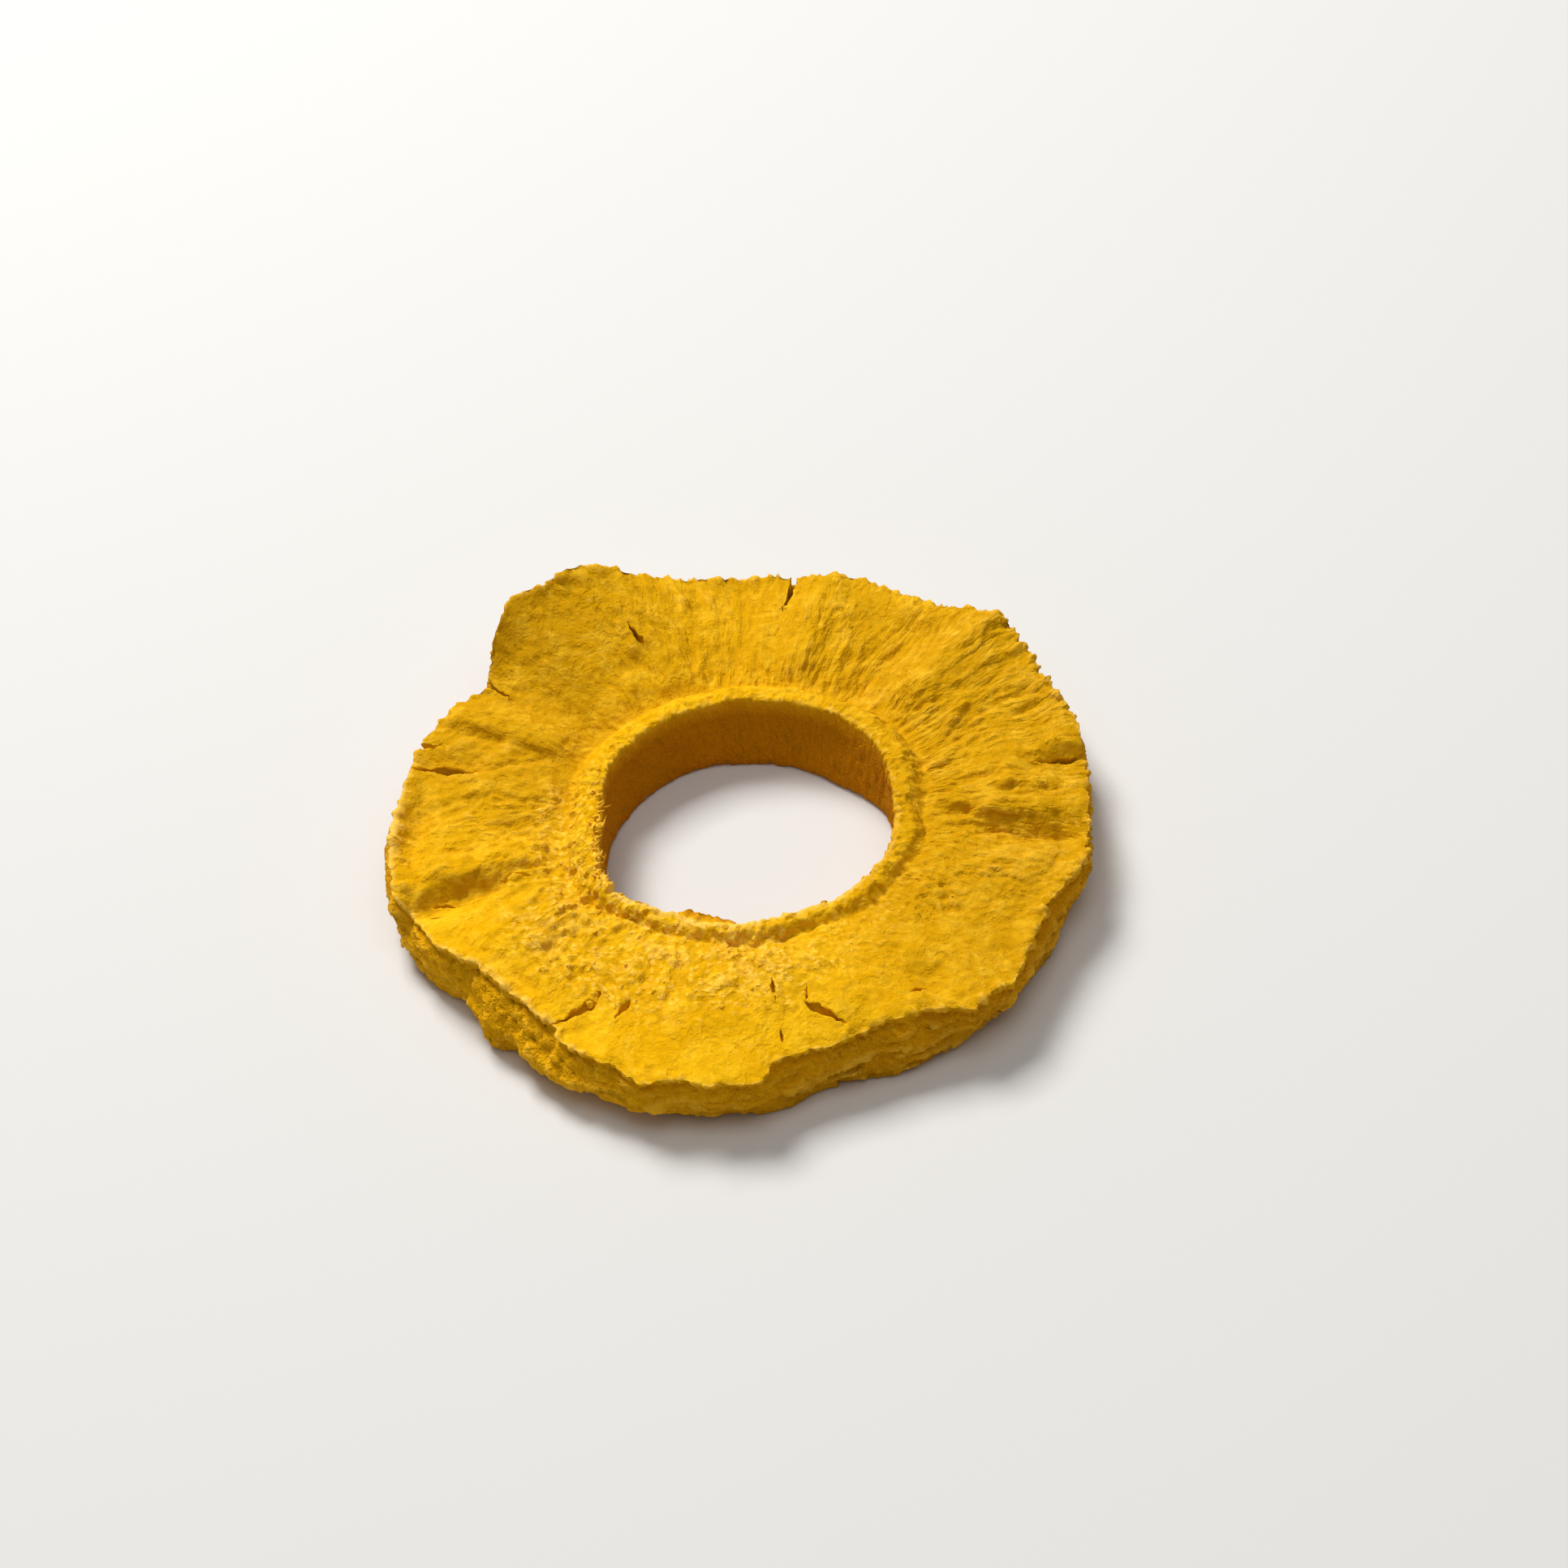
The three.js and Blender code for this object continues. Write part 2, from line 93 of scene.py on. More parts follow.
RIM_FOOT = [
    (-178, 40.6), (-167, 40.8), (-159, 39.9), (-151, 37.6), (-146, 38.2), (-141.5, 39.3), (-136.5, 37.8),
    (-130.5, 39.0), (-120, 38.6), (-107, 39.2), (-92, 38.6), (-80, 36.6), (-63, 38.2), (-44, 38.1),
    (-23, 37.9), (0, 38.6), (25, 39.0), (55, 38.4), (88, 38.9), (120, 38.2), (150, 39.0),
]
HOLE_TOP = [
    (-163, 17.4), (-155, 18.6), (-142, 18.8), (-130, 17.7), (-120, 17.5), (-109, 18.0), (-99, 18.1),
    (-88, 17.7), (-70, 17.5), (-59, 18.1), (-36, 18.2), (0, 17.2), (35, 17.8), (70, 17.4), (100, 17.5),
    (142, 17.6), (176, 16.3),
]
HOLE_FOOT = [
    (-150, 17.4), (-90, 18.0), (-30, 17.6), (10, 17.0), (45, 15.2), (80, 15.4), (110, 16.4), (150, 16.4),
]

# The fillets where the face, the walls and the underside meet.
FILLET = {"collar": 0.55, "rim": 0.2, "foot": 1.1, "hole_foot": 0.8}

# Where drying has curled the slice up: angle, spread, how steeply the lift ends, and its height.
LIFTS = [(121, 13, 3.4, 7.6), (92, 22, 2, 1.6), (36, 12, 2, 2.6), (168, 18, 2, 0.9)]
LIFT_POWER = 1.5

# Where the rim's edge stands up in a thin dried lip, with a dip inside it: angle, spread, width and rise.
RIM_LIPS = [(176, 10, 1.7, 1.1), (-141, 11, 1.3, 0.6), (-30, 15, 1.7, 0.5)]
# The dip, as shares of the lip's width and rise: how far in it is, its spread and its depth.
LIP_DIP = {"inward": 1.7, "spread": 0.4, "depth": 0.5}

# Broad folds of the face: angle, the radii it runs from and to, its width, its signed height, and how
# much wider its anticlockwise side is and its clockwise side narrower, as a share of the width.
FOLDS = [
    (134, 21, 40, 3.2, -1.5, 0), (121, 26, 42, 2.6, -0.8, 0), (50, 20, 37, 3.0, -1.7, 0),
    (37, 25, 42, 2.0, 1.1, 0), (18, 24, 38, 2.6, -0.5, 0), (4.4, 33, 42, 1.3, -1.1, -0.5),
    (-2, 27, 36, 0.9, 0.5, 0.6), (-9.5, 27, 40, 1.1, 0.9, 0.5), (-14.5, 27, 39, 1.4, -1.2, -0.4),
    (-38, 27, 36, 2.8, -0.5, 0), (-57.5, 32, 36, 1.6, -0.9, 0.3), (-62.5, 34, 37, 1.1, 0.6, 0),
    (-74, 29, 35, 1.5, 0.7, 0), (-100, 24, 34, 3.5, 0.5, 0), (-124, 30, 38, 2.2, -0.6, 0),
    (-150, 24, 37, 3.0, 0.7, 0), (-162, 30, 40, 1.3, 0.4, 0), (-167, 29, 41, 1.7, -1.7, 0.4),
    (-174, 24, 40, 1.6, 0.7, 0.4), (174, 35, 40, 1.5, -0.8, 0), (175, 24, 29, 1.0, -0.6, 0.5),
    (160.2, 32, 42, 1.5, -1.4, -0.7), (153.8, 30, 42, 1.1, 0.4, 0), (148.5, 24, 40, 2.2, 1.3, -0.75),
    (104, 23, 40, 2.4, 0.9, 0), (88, 22, 39, 3.0, -0.9, 0), (70, 24, 41, 2.2, 0.8, 0),
]
FOLD_EASE = 4.0  # how far each fold takes to rise at its inner end and to end at its outer one

# Fine creases of the face, drawn by lot: the middle and spread of the angles, how many there are, the
# longest one, and the height of the highest.
CREASES = [(0, 17, 44, 9, 0.55), (60, 28, 26, 8, 0.4), (178, 16, 24, 7, 0.45), (120, 24, 14, 8, 0.35),
           (-38, 20, 12, 5, 0.25), (-90, 25, 12, 5, 0.25), (-168, 2.5, 12, 9, 0.5), (-12, 3, 8, 8, 0.5)]
# For all of them: the radii that they start between, the shortest, the degrees that one turns in each
# millimetre and wanders by, the span of its wander, its half width, and how lopsided it is.
CREASE = {"start": (20, 36), "shortest": 2.5, "turn": 0.7, "wander": 1.2, "span": 2.5,
          "half_width": (0.35, 0.75), "lean": (0.2, 0.7)}

# Torn slits: the middle's angle and radius, length, width, depth, the turn from straight outwards, where
# it is widest, from -1 at its inner end to 1 at its outer end, and the side that its bottom lies under:
# 1 is the one anticlockwise of its run, -1 the other.
SLITS = [
    (159.3, 36.6, 9.0, 1.5, 2.6, 5, 0.3, 1), (155, 40.2, 3.4, 0.8, 1.5, 10, 0.3, 1),
    (139, 37.4, 6.4, 1.2, 2.6, -3, 0.7, 0), (-127, 34.4, 5.8, 1.5, 0.8, -27, -0.75, -1),
    (-118.5, 32.2, 3.0, 1.1, 0.7, -11, -0.4, -1), (-87.5, 28.4, 3.4, 0.6, 1.0, 0, -0.2, 0),
    (-78.3, 32.9, 6.2, 1.2, 1.4, 38, -0.5, 1), (-80.8, 29.3, 2.6, 0.6, 0.9, -16, 0.3, 0),
    (4.9, 37.7, 8.2, 1.2, 2.6, 3, 0.7, 1), (77, 37.0, 7.4, 1.2, 3.0, -4, 0.7, 0),
    (110, 31.0, 4.0, 0.9, 1.8, 12, -0.2, 0),
]
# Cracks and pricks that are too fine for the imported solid.
CRACKS = [
    (-87.4, 34.5, 2.0, 0.5, 0.8, 0, 0.2, 0), (-125.3, 31.0, 1.2, 0.6, 0.7, 20, -0.4, 0),
    (-11, 25.5, 0.6, 0.5, 0.8, 0, 0, 0), (-166.2, 35.6, 4.8, 0.6, 0.9, -27, 0.3, 0),
    (-166.0, 27.5, 5.6, 0.4, 0.7, -24, -0.2, 0), (-164.0, 37.3, 2.8, 0.4, 0.7, -28, 0.2, 0),
    (-60.8, 34.7, 2.2, 0.7, 0.8, 80, 0, 1),
]

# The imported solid's own unevenness: span, the reach where it is measured, its run and its depth.
WRINKLE = {"span": 2.6, "reach": 30, "along": 11, "depth": 0.42}
CRAG = {"span": 3.4, "layer": 2.2, "depth": 0.5}
RAGGED = {"span": 2.3, "reach": 40, "depth": 0.45}
COLLAR_LUMPS = {"span": 4.0, "reach": 18}

# Steps round the ring, and along each stretch of its section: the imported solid's, and the fine ones.
SLIT_SIDES = 36
SOLID_GRID = {"creased": False, "round": 180, "face": 12, "rim": 1, "wall": 4, "foot": 1, "land": 1,
              "recess": 4, "hole_foot": 1, "hole": 3, "collar": 1}
FINE_GRID = {"creased": True, "round": 732, "face": 68, "rim": 3, "wall": 23, "foot": 3, "land": 1,
             "recess": 10, "hole_foot": 2, "hole": 13, "collar": 4}


# ---- Small helpers ----

def mix(a, b, t):
    return a + (b - a) * t


def smooth(x):
    x = np.clip(x, 0, 1)
    return x * x * (3 - 2 * x)


def turn_between(a, b):
    return (a - b + 180) % 360 - 180


def bump(x):
    return np.exp(-0.5 * x * x)


def lattice(i, j, k):
    """A repeatable number from 0 to 1 for a lattice point."""
    s = np.sin(i * 127.1 + j * 311.7 + k * 74.7) * 43758.5453
    return s - np.floor(s)


def noise(x, y, z):
    """Smooth noise from -1 to 1, one bump to a unit."""
    i, j, k = np.floor(x), np.floor(y), np.floor(z)
    u, v, w = smooth(x - i), smooth(y - j), smooth(z - k)

    def row(b, c):
        return mix(lattice(i, b, c), lattice(i + 1, b, c), u)

    low = mix(row(j, k), row(j + 1, k), v)
    high = mix(row(j, k + 1), row(j + 1, k + 1), v)
    return 2 * mix(low, high, w) - 1


def rough_round(angle, reach, span, across):
    """Two octaves of noise that run round the ring without a seam. across changes it from place to
    place, and each use starts it from a number of its own."""
    x = reach / span * np.cos(np.radians(angle))
    y = reach / span * np.sin(np.radians(angle))
    z = across + 0 * x
    return (noise(x, y, z) + 0.5 * noise(2 * x + 7, 2 * y + 3, 2 * z + 5)) / 1.5


def edge_radius(corners, angle, blend):
    """An edge's radius, or another size, at each angle, between its two nearest corners."""
    a, r = np.array(sorted(corners)).T
    a, r = np.append(a, a[0] + 360), np.append(r, r[0])
    turn = (angle - a[0]) % 360 + a[0]
    i = np.clip(np.searchsorted(a, turn, side="right") - 1, 0, len(a) - 2)
    return mix(r[i], r[i + 1], blend((turn - a[i]) / (a[i + 1] - a[i])))


# ---- The ring's form ----

def edges_at(angle):
    """The four corners of the section at each angle, in plan, and the collar's width and rise."""
    def ragged(seed):
        return RAGGED["depth"] * rough_round(angle, RAGGED["reach"], RAGGED["span"], seed)

    return {
        "rim_top": edge_radius(RIM_TOP, angle, lambda t: t) + ragged(1.5),
        "rim_foot": edge_radius(RIM_FOOT, angle, smooth) + 0.7 * ragged(9.5),
        "hole_top": edge_radius(HOLE_TOP, angle, smooth) + 0.35 * ragged(17.5),
        "hole_foot": edge_radius(HOLE_FOOT, angle, smooth) + 0.35 * ragged(25.5),
        "collar": edge_radius(COLLAR_WIDTH, angle, smooth),
        "collar_rise": edge_radius(COLLAR_RISE, angle, smooth),
    }


def across_flesh(radius, edges):
    """How far out a point is on the flesh: 0 at the groove and further in, and 1 at the rim."""
    groove = edges["hole_top"] + edges["collar"]
    return np.clip((radius - groove) / (edges["rim_top"] - groove), 0, 1)


def lift_at(angle, radius, edges):
    """How far the slice has curled up at a point."""
    lift = 0
    for middle, spread, edge, height in LIFTS:
        lift += height * np.exp(-0.5 * (abs(turn_between(angle, middle)) / spread) ** edge)
    return lift * across_flesh(radius, edges) ** LIFT_POWER


def lips_at(angle, radius, edges):
    """How far the rim's dried lips stand up at a point."""
    height = 0
    for middle, spread, width, rise in RIM_LIPS:
        inward = (edges["rim_top"] - radius) / width
        dip = LIP_DIP["depth"] * bump((inward - LIP_DIP["inward"]) / LIP_DIP["spread"])
        edge = smooth(1.2 - inward) - dip
        height += rise * bump(turn_between(angle, middle) / spread) * edge
    return height


def folds_at(angle, radius):
    """The broad folds' height at a point."""
    height = 0
    for middle, start, end, width, rise, lean in FOLDS:
        across = np.radians(turn_between(angle, middle)) * radius / width
        ends = smooth((radius - start) / FOLD_EASE + 0.5) * smooth((end - radius) / FOLD_EASE + 0.5)
        height += rise * bump(across / np.where(across > 0, 1 + lean, 1 - lean)) * ends
    return height


def creases_at(angle, radius):
    """Fine creases that run more or less outwards, steeper on one side."""
    draw = np.random.default_rng(5)
    height = 0
    for middle, spread, count, longest, highest in CREASES:
        for _ in range(count):
            heading = draw.normal(middle, spread)
            start = draw.uniform(*CREASE["start"])
            turn = draw.normal(0, CREASE["turn"])
            length = draw.uniform(CREASE["shortest"], longest)
            rise = draw.uniform(-highest, highest)
            lean = draw.uniform(*CREASE["lean"])
            half_width = draw.uniform(*CREASE["half_width"])
            along = (radius - start) / length
            wander = CREASE["wander"] * noise(radius / CREASE["span"], along * 0 + heading, 0 * along)
            bend = turn * (radius - start) + wander
            across = np.radians(turn_between(angle, heading + bend)) * radius / half_width
            across = across / np.where(across > 0, 1 + lean, 1 - lean)
            height += rise * bump(across) * smooth(4 * along) * smooth(4 * (1 - along))
    return height


def wrinkles_at(angle, radius, seed):
    """Radial wrinkles: noise that is drawn out along the radius."""
    return WRINKLE["depth"] * rough_round(angle, WRINKLE["reach"], WRINKLE["span"],
                                          radius / WRINKLE["along"] + seed)


def face_height(angle, radius, edges):
    """Height of the face: groove, collar, dome, folds, lips and wrinkles on the curled slice."""
    from_hole, width = radius - edges["hole_top"], edges["collar"]
    dome = FACE_DOME * np.sin(math.pi * across_flesh(radius, edges) ** DOME_POWER)
    scallop = 1 + SCALLOP["share"] * rough_round(angle, SCALLOP["reach"], SCALLOP["span"], 49.5)
    crest = COLLAR_CREST * width * scallop
    uneven = COLLAR_UNEVEN * rough_round(angle, COLLAR_LUMPS["reach"], COLLAR_LUMPS["span"], 33.5)
    collar = edges["collar_rise"] * (1 + uneven) * (1 - smooth((from_hole - crest) / (width - crest)))
    on_flesh = smooth(from_hole / width - 0.6)
    relief = folds_at(angle, radius) + wrinkles_at(angle, radius, 0.5)
    rise = lift_at(angle, radius, edges) + lips_at(angle, radius, edges)
    return FLESH_THICKNESS + rise + dome + collar + on_flesh * relief


def under_height(angle, radius, edges):
    """Height of the underside: flat lands at the hole and the rim, drawn up between them."""
    inward = np.minimum(radius - edges["hole_foot"], edges["rim_foot"] - radius) - LAND_WIDTH
    drawn_up = smooth(inward / LAND_WIDTH) * (UNDER_RECESS + 0.8 * wrinkles_at(angle, radius, 40.5))
    return np.maximum(0, drawn_up) + lift_at(angle, radius, edges)


def crags_at(angle, radius, height, seed):
    """Crags of a wall, in layers that run round the ring."""
    return CRAG["depth"] * rough_round(angle, radius, CRAG["span"], height / CRAG["layer"] + seed)


def torn_layer_at(angle, up):
    """How far the torn layer stands out into the hole."""
    layer = TORN_LAYER
    starts = smooth((angle - layer["from"]) / layer["fades_in"])
    ends = smooth((layer["to"] - angle) / layer["fades_out"])
    ragged = 1 + layer["uneven"] * rough_round(angle, COLLAR_LUMPS["reach"], layer["span"], 71.5)
    return layer["reach"] * starts * ends * ragged * bump((up - layer["up"]) / layer["spread"])


def fillet(start, corner, end, t):
    """A quadratic curve from one point to another, drawn towards a corner."""
    return [(1 - t) ** 2 * a + 2 * t * (1 - t) * b + t * t * c for a, b, c in zip(start, corner, end)]


def sections(angle, grid):
    """The closed section at each angle: (stretch, radius, height) for every station, out along the
    face, down the outer wall, in along the underside and up the wall of the hole."""
    e = edges_at(angle)

    def face(r):
        creases = creases_at(angle, r) * smooth(across_flesh(r, e) * 6) if grid["creased"] else 0
        return [r, face_height(angle, r, e) + creases]

    def under(r):
        return [r, under_height(angle, r, e)]

    rim_corner = face(e["rim_top"])
    foot_corner = under(e["rim_foot"])
    hole_foot_corner = under(e["hole_foot"])
    collar_corner = face(e["hole_top"])

    def wall(t):
        height = mix(rim_corner[1] - FILLET["rim"], foot_corner[1] + FILLET["foot"], t)
        out = math.sin(math.pi * t) * (WALL_BELLY + crags_at(angle, e["rim_top"], height, 60.5))
        out = out - UNDERCUT["depth"] * bump((t - UNDERCUT["down"]) / UNDERCUT["spread"])
        ledge = LEDGE["depth"] * bump((t - LEDGE["down"]) / LEDGE["spread"])
        out = out + ledge * bump(turn_between(angle, LEDGE["angle"]) / LEDGE["round"])
        return [mix(e["rim_top"], e["rim_foot"], t) + out, height]

    def hole(t):
        height = mix(hole_foot_corner[1] + FILLET["hole_foot"], collar_corner[1] - FILLET["collar"], t)
        out = 0.5 * math.sin(math.pi * t) * crags_at(angle, e["hole_top"], height, 80.5)
        if grid["creased"]:
            out = out - torn_layer_at(angle, t)
        return [mix(e["hole_foot"], e["hole_top"], t) + out, height]

    face_from, face_to = e["hole_top"] + FILLET["collar"], e["rim_top"] - FILLET["rim"]
    under_from, under_to = e["rim_foot"] - FILLET["foot"], e["hole_foot"] + FILLET["hole_foot"]
    recess_from, recess_to = e["rim_foot"] - LAND_WIDTH, e["hole_foot"] + LAND_WIDTH
    stretches = [
        ("face", lambda t: face(mix(face_from, face_to, t**1.2))),
        ("rim", lambda t: fillet(face(face_to), rim_corner, wall(0), t)),
        ("wall", wall),
        ("foot", lambda t: fillet(wall(1), foot_corner, under(under_from), t)),
        ("land", lambda t: under(mix(under_from, recess_from, t))),
        ("recess", lambda t: under(mix(recess_from, recess_to, t))),
        ("land", lambda t: under(mix(recess_to, under_to, t))),
        ("hole_foot", lambda t: fillet(under(under_to), hole_foot_corner, hole(0), t)),
        ("hole", hole),
        ("collar", lambda t: fillet(hole(1), collar_corner, face(face_from), t)),
    ]
    return [(name, *point(i / grid[name])) for name, point in stretches for i in range(grid[name])]


def ring_form(grid):
    """The ring on a grid: the stretch of each station, and [angle, station] arrays of the angle,
    radius and height."""
    angle = np.arange(grid["round"]) * 360 / grid["round"] - 180
    names, radius, height = zip(*sections(angle, grid))
    everywhere = np.repeat(angle[:, None], len(names), axis=1)
    return list(names), everywhere, np.stack(radius, axis=1), np.stack(height, axis=1)


def place(angle, radius, height):
    turn = np.radians(angle)
    return np.stack([radius * np.cos(turn), radius * np.sin(turn), height], axis=-1)


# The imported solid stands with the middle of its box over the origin, so the ring's centre is here.
_, *solid_form = ring_form(SOLID_GRID)
solid_points = place(*solid_form).reshape(-1, 3)
CENTRE = -(solid_points.min(axis=0) + solid_points.max(axis=0)) / 2 * (1, 1, 0)


# ---- Where each kind of relief lies ----

def patches(angle, radius, spots):
    """The strongest of some soft oval patches: angle, radius, half length round, half width out, strength."""
    total = 0
    for middle, reach, round_, out, strength in spots:
        away = np.hypot(np.radians(turn_between(angle, middle)) * reach / round_, (radius - reach) / out)
        total = np.maximum(total, strength * smooth(1.5 - away))
    return total


# Patches of grains, of open pits and of calmer flesh on the face, for patches().
GRAINY = [(-130, 26.5, 16, 6.5, 1.0), (-100, 25.0, 12, 5.5, 1.0), (-155, 23.5, 9, 4.5, 1.0),
          (-66, 24.0, 9, 3.5, 0.5), (172, 22.5, 6, 2.0, 0.8)]
PITTED = [(-41, 26.5, 5.0, 2.2, 2.0), (-14, 31.0, 4.0, 1.2, 0.6), (-169, 34.0, 2.0, 4.0, 0.5),
          (16, 29.0, 4.0, 2.0, 0.6)]
CALM = [(-159, 36.0, 4, 5.0, 0.7), (-152, 31.0, 5, 3.5, 0.5), (-98, 36.0, 9, 4.0, 0.3)]
# The floors of the deepest folds, darkened as painted shade.
PAINTED_SHADE_HOLLOWS = [(-168, 33.0, 1.6, 7.0, 1.0), (-14.5, 33.0, 1.6, 5.0, 0.3), (175, 26.5, 1.4, 2.2, 0.9),
           (161, 37.0, 1.6, 4.0, 0.5)]


def relief_masks(names, angle, radius):
    """How strong each kind of relief is at each point of the grid, as a share of its height in RELIEF,
    and how strong the patches of grains, torn fibres, paler colour, painted highlight and painted shade are."""
    stretch = np.array(names)

    def on(*wanted):
        # Each stretch fades into its neighbours over a few stations.
        flat = np.isin(stretch, wanted).astype(float)
        return sum(np.roll(flat, k) for k in (-2, -1, 0, 1, 2))[None, :] / 5

    def towards(middle, spread):
        return bump(turn_between(angle, middle) / spread)

    edges = edges_at(angle)
    from_hole, from_rim = radius - edges["hole_top"], edges["rim_top"] - radius
    past_groove = from_hole - edges["collar"]
    face, wall = on("face", "rim", "collar"), on("wall", "foot")
    hole, under = on("hole", "hole_foot"), on("recess", "land")
    flesh = face * smooth((past_groove + 0.8) / 1.6) * (1 - patches(angle, radius, CALM))
    collar = on("face", "collar") * smooth((0.6 - past_groove) / 1.2)
    inner_lip = on("face", "collar") * smooth(1.6 - abs(from_hole - 0.3) / 0.7)
    crest = on("face", "collar") * smooth(1.5 - abs(from_hole - 0.3) / 0.45)
    near_rim = on("face", "rim") * smooth(1 - from_rim / 2.2)
    lip = on("face", "rim") * smooth(2.0 - from_rim / 0.75)
    lip = lip * (1.2 * towards(176, 10) + 0.9 * towards(-141, 11))
    rim_line = on("face", "rim") * smooth(1.5 - from_rim / 0.4)
    # How far down the outer wall a station is, from 0 at the rim to 1 at the foot.
    down = np.clip((np.arange(len(names)) - names.index("wall")) / names.count("wall"), 0, 1)[None, :]
    left, right, back, front = towards(178, 30), towards(5, 45), towards(90, 45), towards(-95, 38)
    right_front, far_left = towards(-40, 18), towards(-138, 35)
    crumbly = towards(-141, 9)
    x, y = radius * np.cos(np.radians(angle)), radius * np.sin(np.radians(angle))
    uneven = 0.5 + 0.5 * noise(x / 4.5, y / 4.5, 0 * x + 21.5)
    clusters = smooth(0.65 + 1.1 * noise(x / 2.2, y / 2.2, 0 * x + 11.5))
    grainy = face * patches(angle, radius, GRAINY) * (1 - 0.4 * smooth(-past_groove))
    pitted = face * patches(angle, radius, PITTED)
    return {
        "swell": flesh * (0.6 + 0.4 * uneven),
        "lumps": flesh * (0.25 + 0.40 * left + 0.35 * back + 0.10 * right) * (0.5 + 0.8 * uneven),
        "crumple": flesh * (0.4 + 0.7 * left + 0.3 * right + 0.7 * right_front) * (0.3 + 1.2 * uneven)
        + 0.9 * collar + 0.5 * under + 0.8 * wall + 0.5 * hole,
        "flakes": flesh * (0.6 + 0.6 * left + 0.6 * right_front) + 0.8 * collar + 0.5 * under + 0.5 * wall,
        "ridges": flesh * (0.1 + 0.9 * right + 0.3 * left + 0.6 * back + 0.2 * near_rim) * (0.3 + uneven),
        "mounds": grainy * (0.5 + 0.5 * uneven) + 0.5 * collar * left,
        "pebbles": grainy * (0.7 + 0.6 * clusters) + collar * (0.1 + 0.7 * left + 0.5 * front)
        + 0.35 * flesh * front * uneven + 0.2 * lip + 0.5 * hole,
        "teeth": (near_rim + on("rim")) * (0.5 + 0.8 * right) * (1 - 0.6 * right_front) * (0.3 + uneven)
        + 0.4 * inner_lip,
        "pores": 0.2 * face * uneven + pitted + wall * (0.4 + 0.8 * crumbly) + 0.6 * hole,
        "layers": wall * (1 - 0.6 * crumbly) * smooth(2.5 * down) * (0.4 + uneven),
        "crags": wall * (0.5 + 0.4 * crumbly) + near_rim * (0.4 + 0.8 * right_front)
        + collar * (0.15 + 0.35 * left + 0.3 * right + 0.35 * front),
        "chips": (on("face", "rim") * smooth(1.8 - from_rim / 0.5) + wall * smooth(1 - 4 * down))
        * (1 - 0.8 * left),
        "caves": wall * crumbly,
        "scores": hole,
        # The gritty relief of the walls, the hole and the underside; its hollows carry painted shade, less on
        # the far left wall where the light falls.
        "grit_and_shade": wall * (1 - 0.4 * far_left) + hole + 0.5 * under,
        "grains": 0.2 * grainy * clusters + 0.3 * collar * left + 0.15 * collar * front,
        "torn": inner_lip * smooth(1.5 * towards(-172, 16) - 0.2),
        "lean": -0.7 * inner_lip,
        # Painted shade: the outer wall is darkened, less on the far left where the light falls, and the
        # hole's wall darker still.
        "depth": wall * (1 - 0.6 * far_left) + 2 * hole,
        # Paler rim lips, collar crest, rim edge and grains: partly their own paler colour, partly painted
        # highlight, strongest on the crest and the collar at the front.
        "pale": 0.55 * lip + 0.9 * crest * (0.4 + 0.6 * front) + 0.45 * grainy * clusters + 0.5 * rim_line
        + 0.4 * collar * front * clusters,
        # Painted shade: the right, back and upper left of the face and the right of the collar are darkened
        # as if shaded, and the floors of the deepest folds as well.
        "shade": flesh * (right + 0.4 * right_front + 1.1 * towards(148, 22) + 0.4 * back)
        + 0.8 * collar * right + face * patches(angle, radius, PAINTED_SHADE_HOLLOWS),
    }


# ---- Meshes ----

def show(name, data):
    obj = bpy.data.objects.new(name, data)
    bpy.context.scene.collection.objects.link(obj)
    return obj


def grid_mesh(name, points):
    """A closed skin over an [angle, station] grid of points, in metres, that joins up both ways."""
    rounds, stations = points.shape[:2]
    i, j = np.meshgrid(np.arange(rounds), np.arange(stations), indexing="ij")
    ni, nj = (i + 1) % rounds, (j + 1) % stations
    quads = np.stack([i * stations + j, i * stations + nj, ni * stations + nj, ni * stations + j], axis=-1)
    mesh = bpy.data.meshes.new(name)
    mesh.vertices.add(rounds * stations)
    mesh.vertices.foreach_set("co", points.reshape(-1).astype(np.float32))
    mesh.loops.add(quads.size)
    mesh.loops.foreach_set("vertex_index", quads.reshape(-1).astype(np.int32))
    mesh.polygons.add(rounds * stations)
    mesh.polygons.foreach_set("loop_start", np.arange(0, quads.size, 4, dtype=np.int32))
    mesh.update(calc_edges=True)
    mesh.validate()
    return mesh


def store(mesh, name, values):
    """Stores a number at each point of a mesh."""
    attribute = mesh.attributes.new(name, "FLOAT", "POINT")
    attribute.data.foreach_set("value", values.reshape(-1).astype(np.float32))


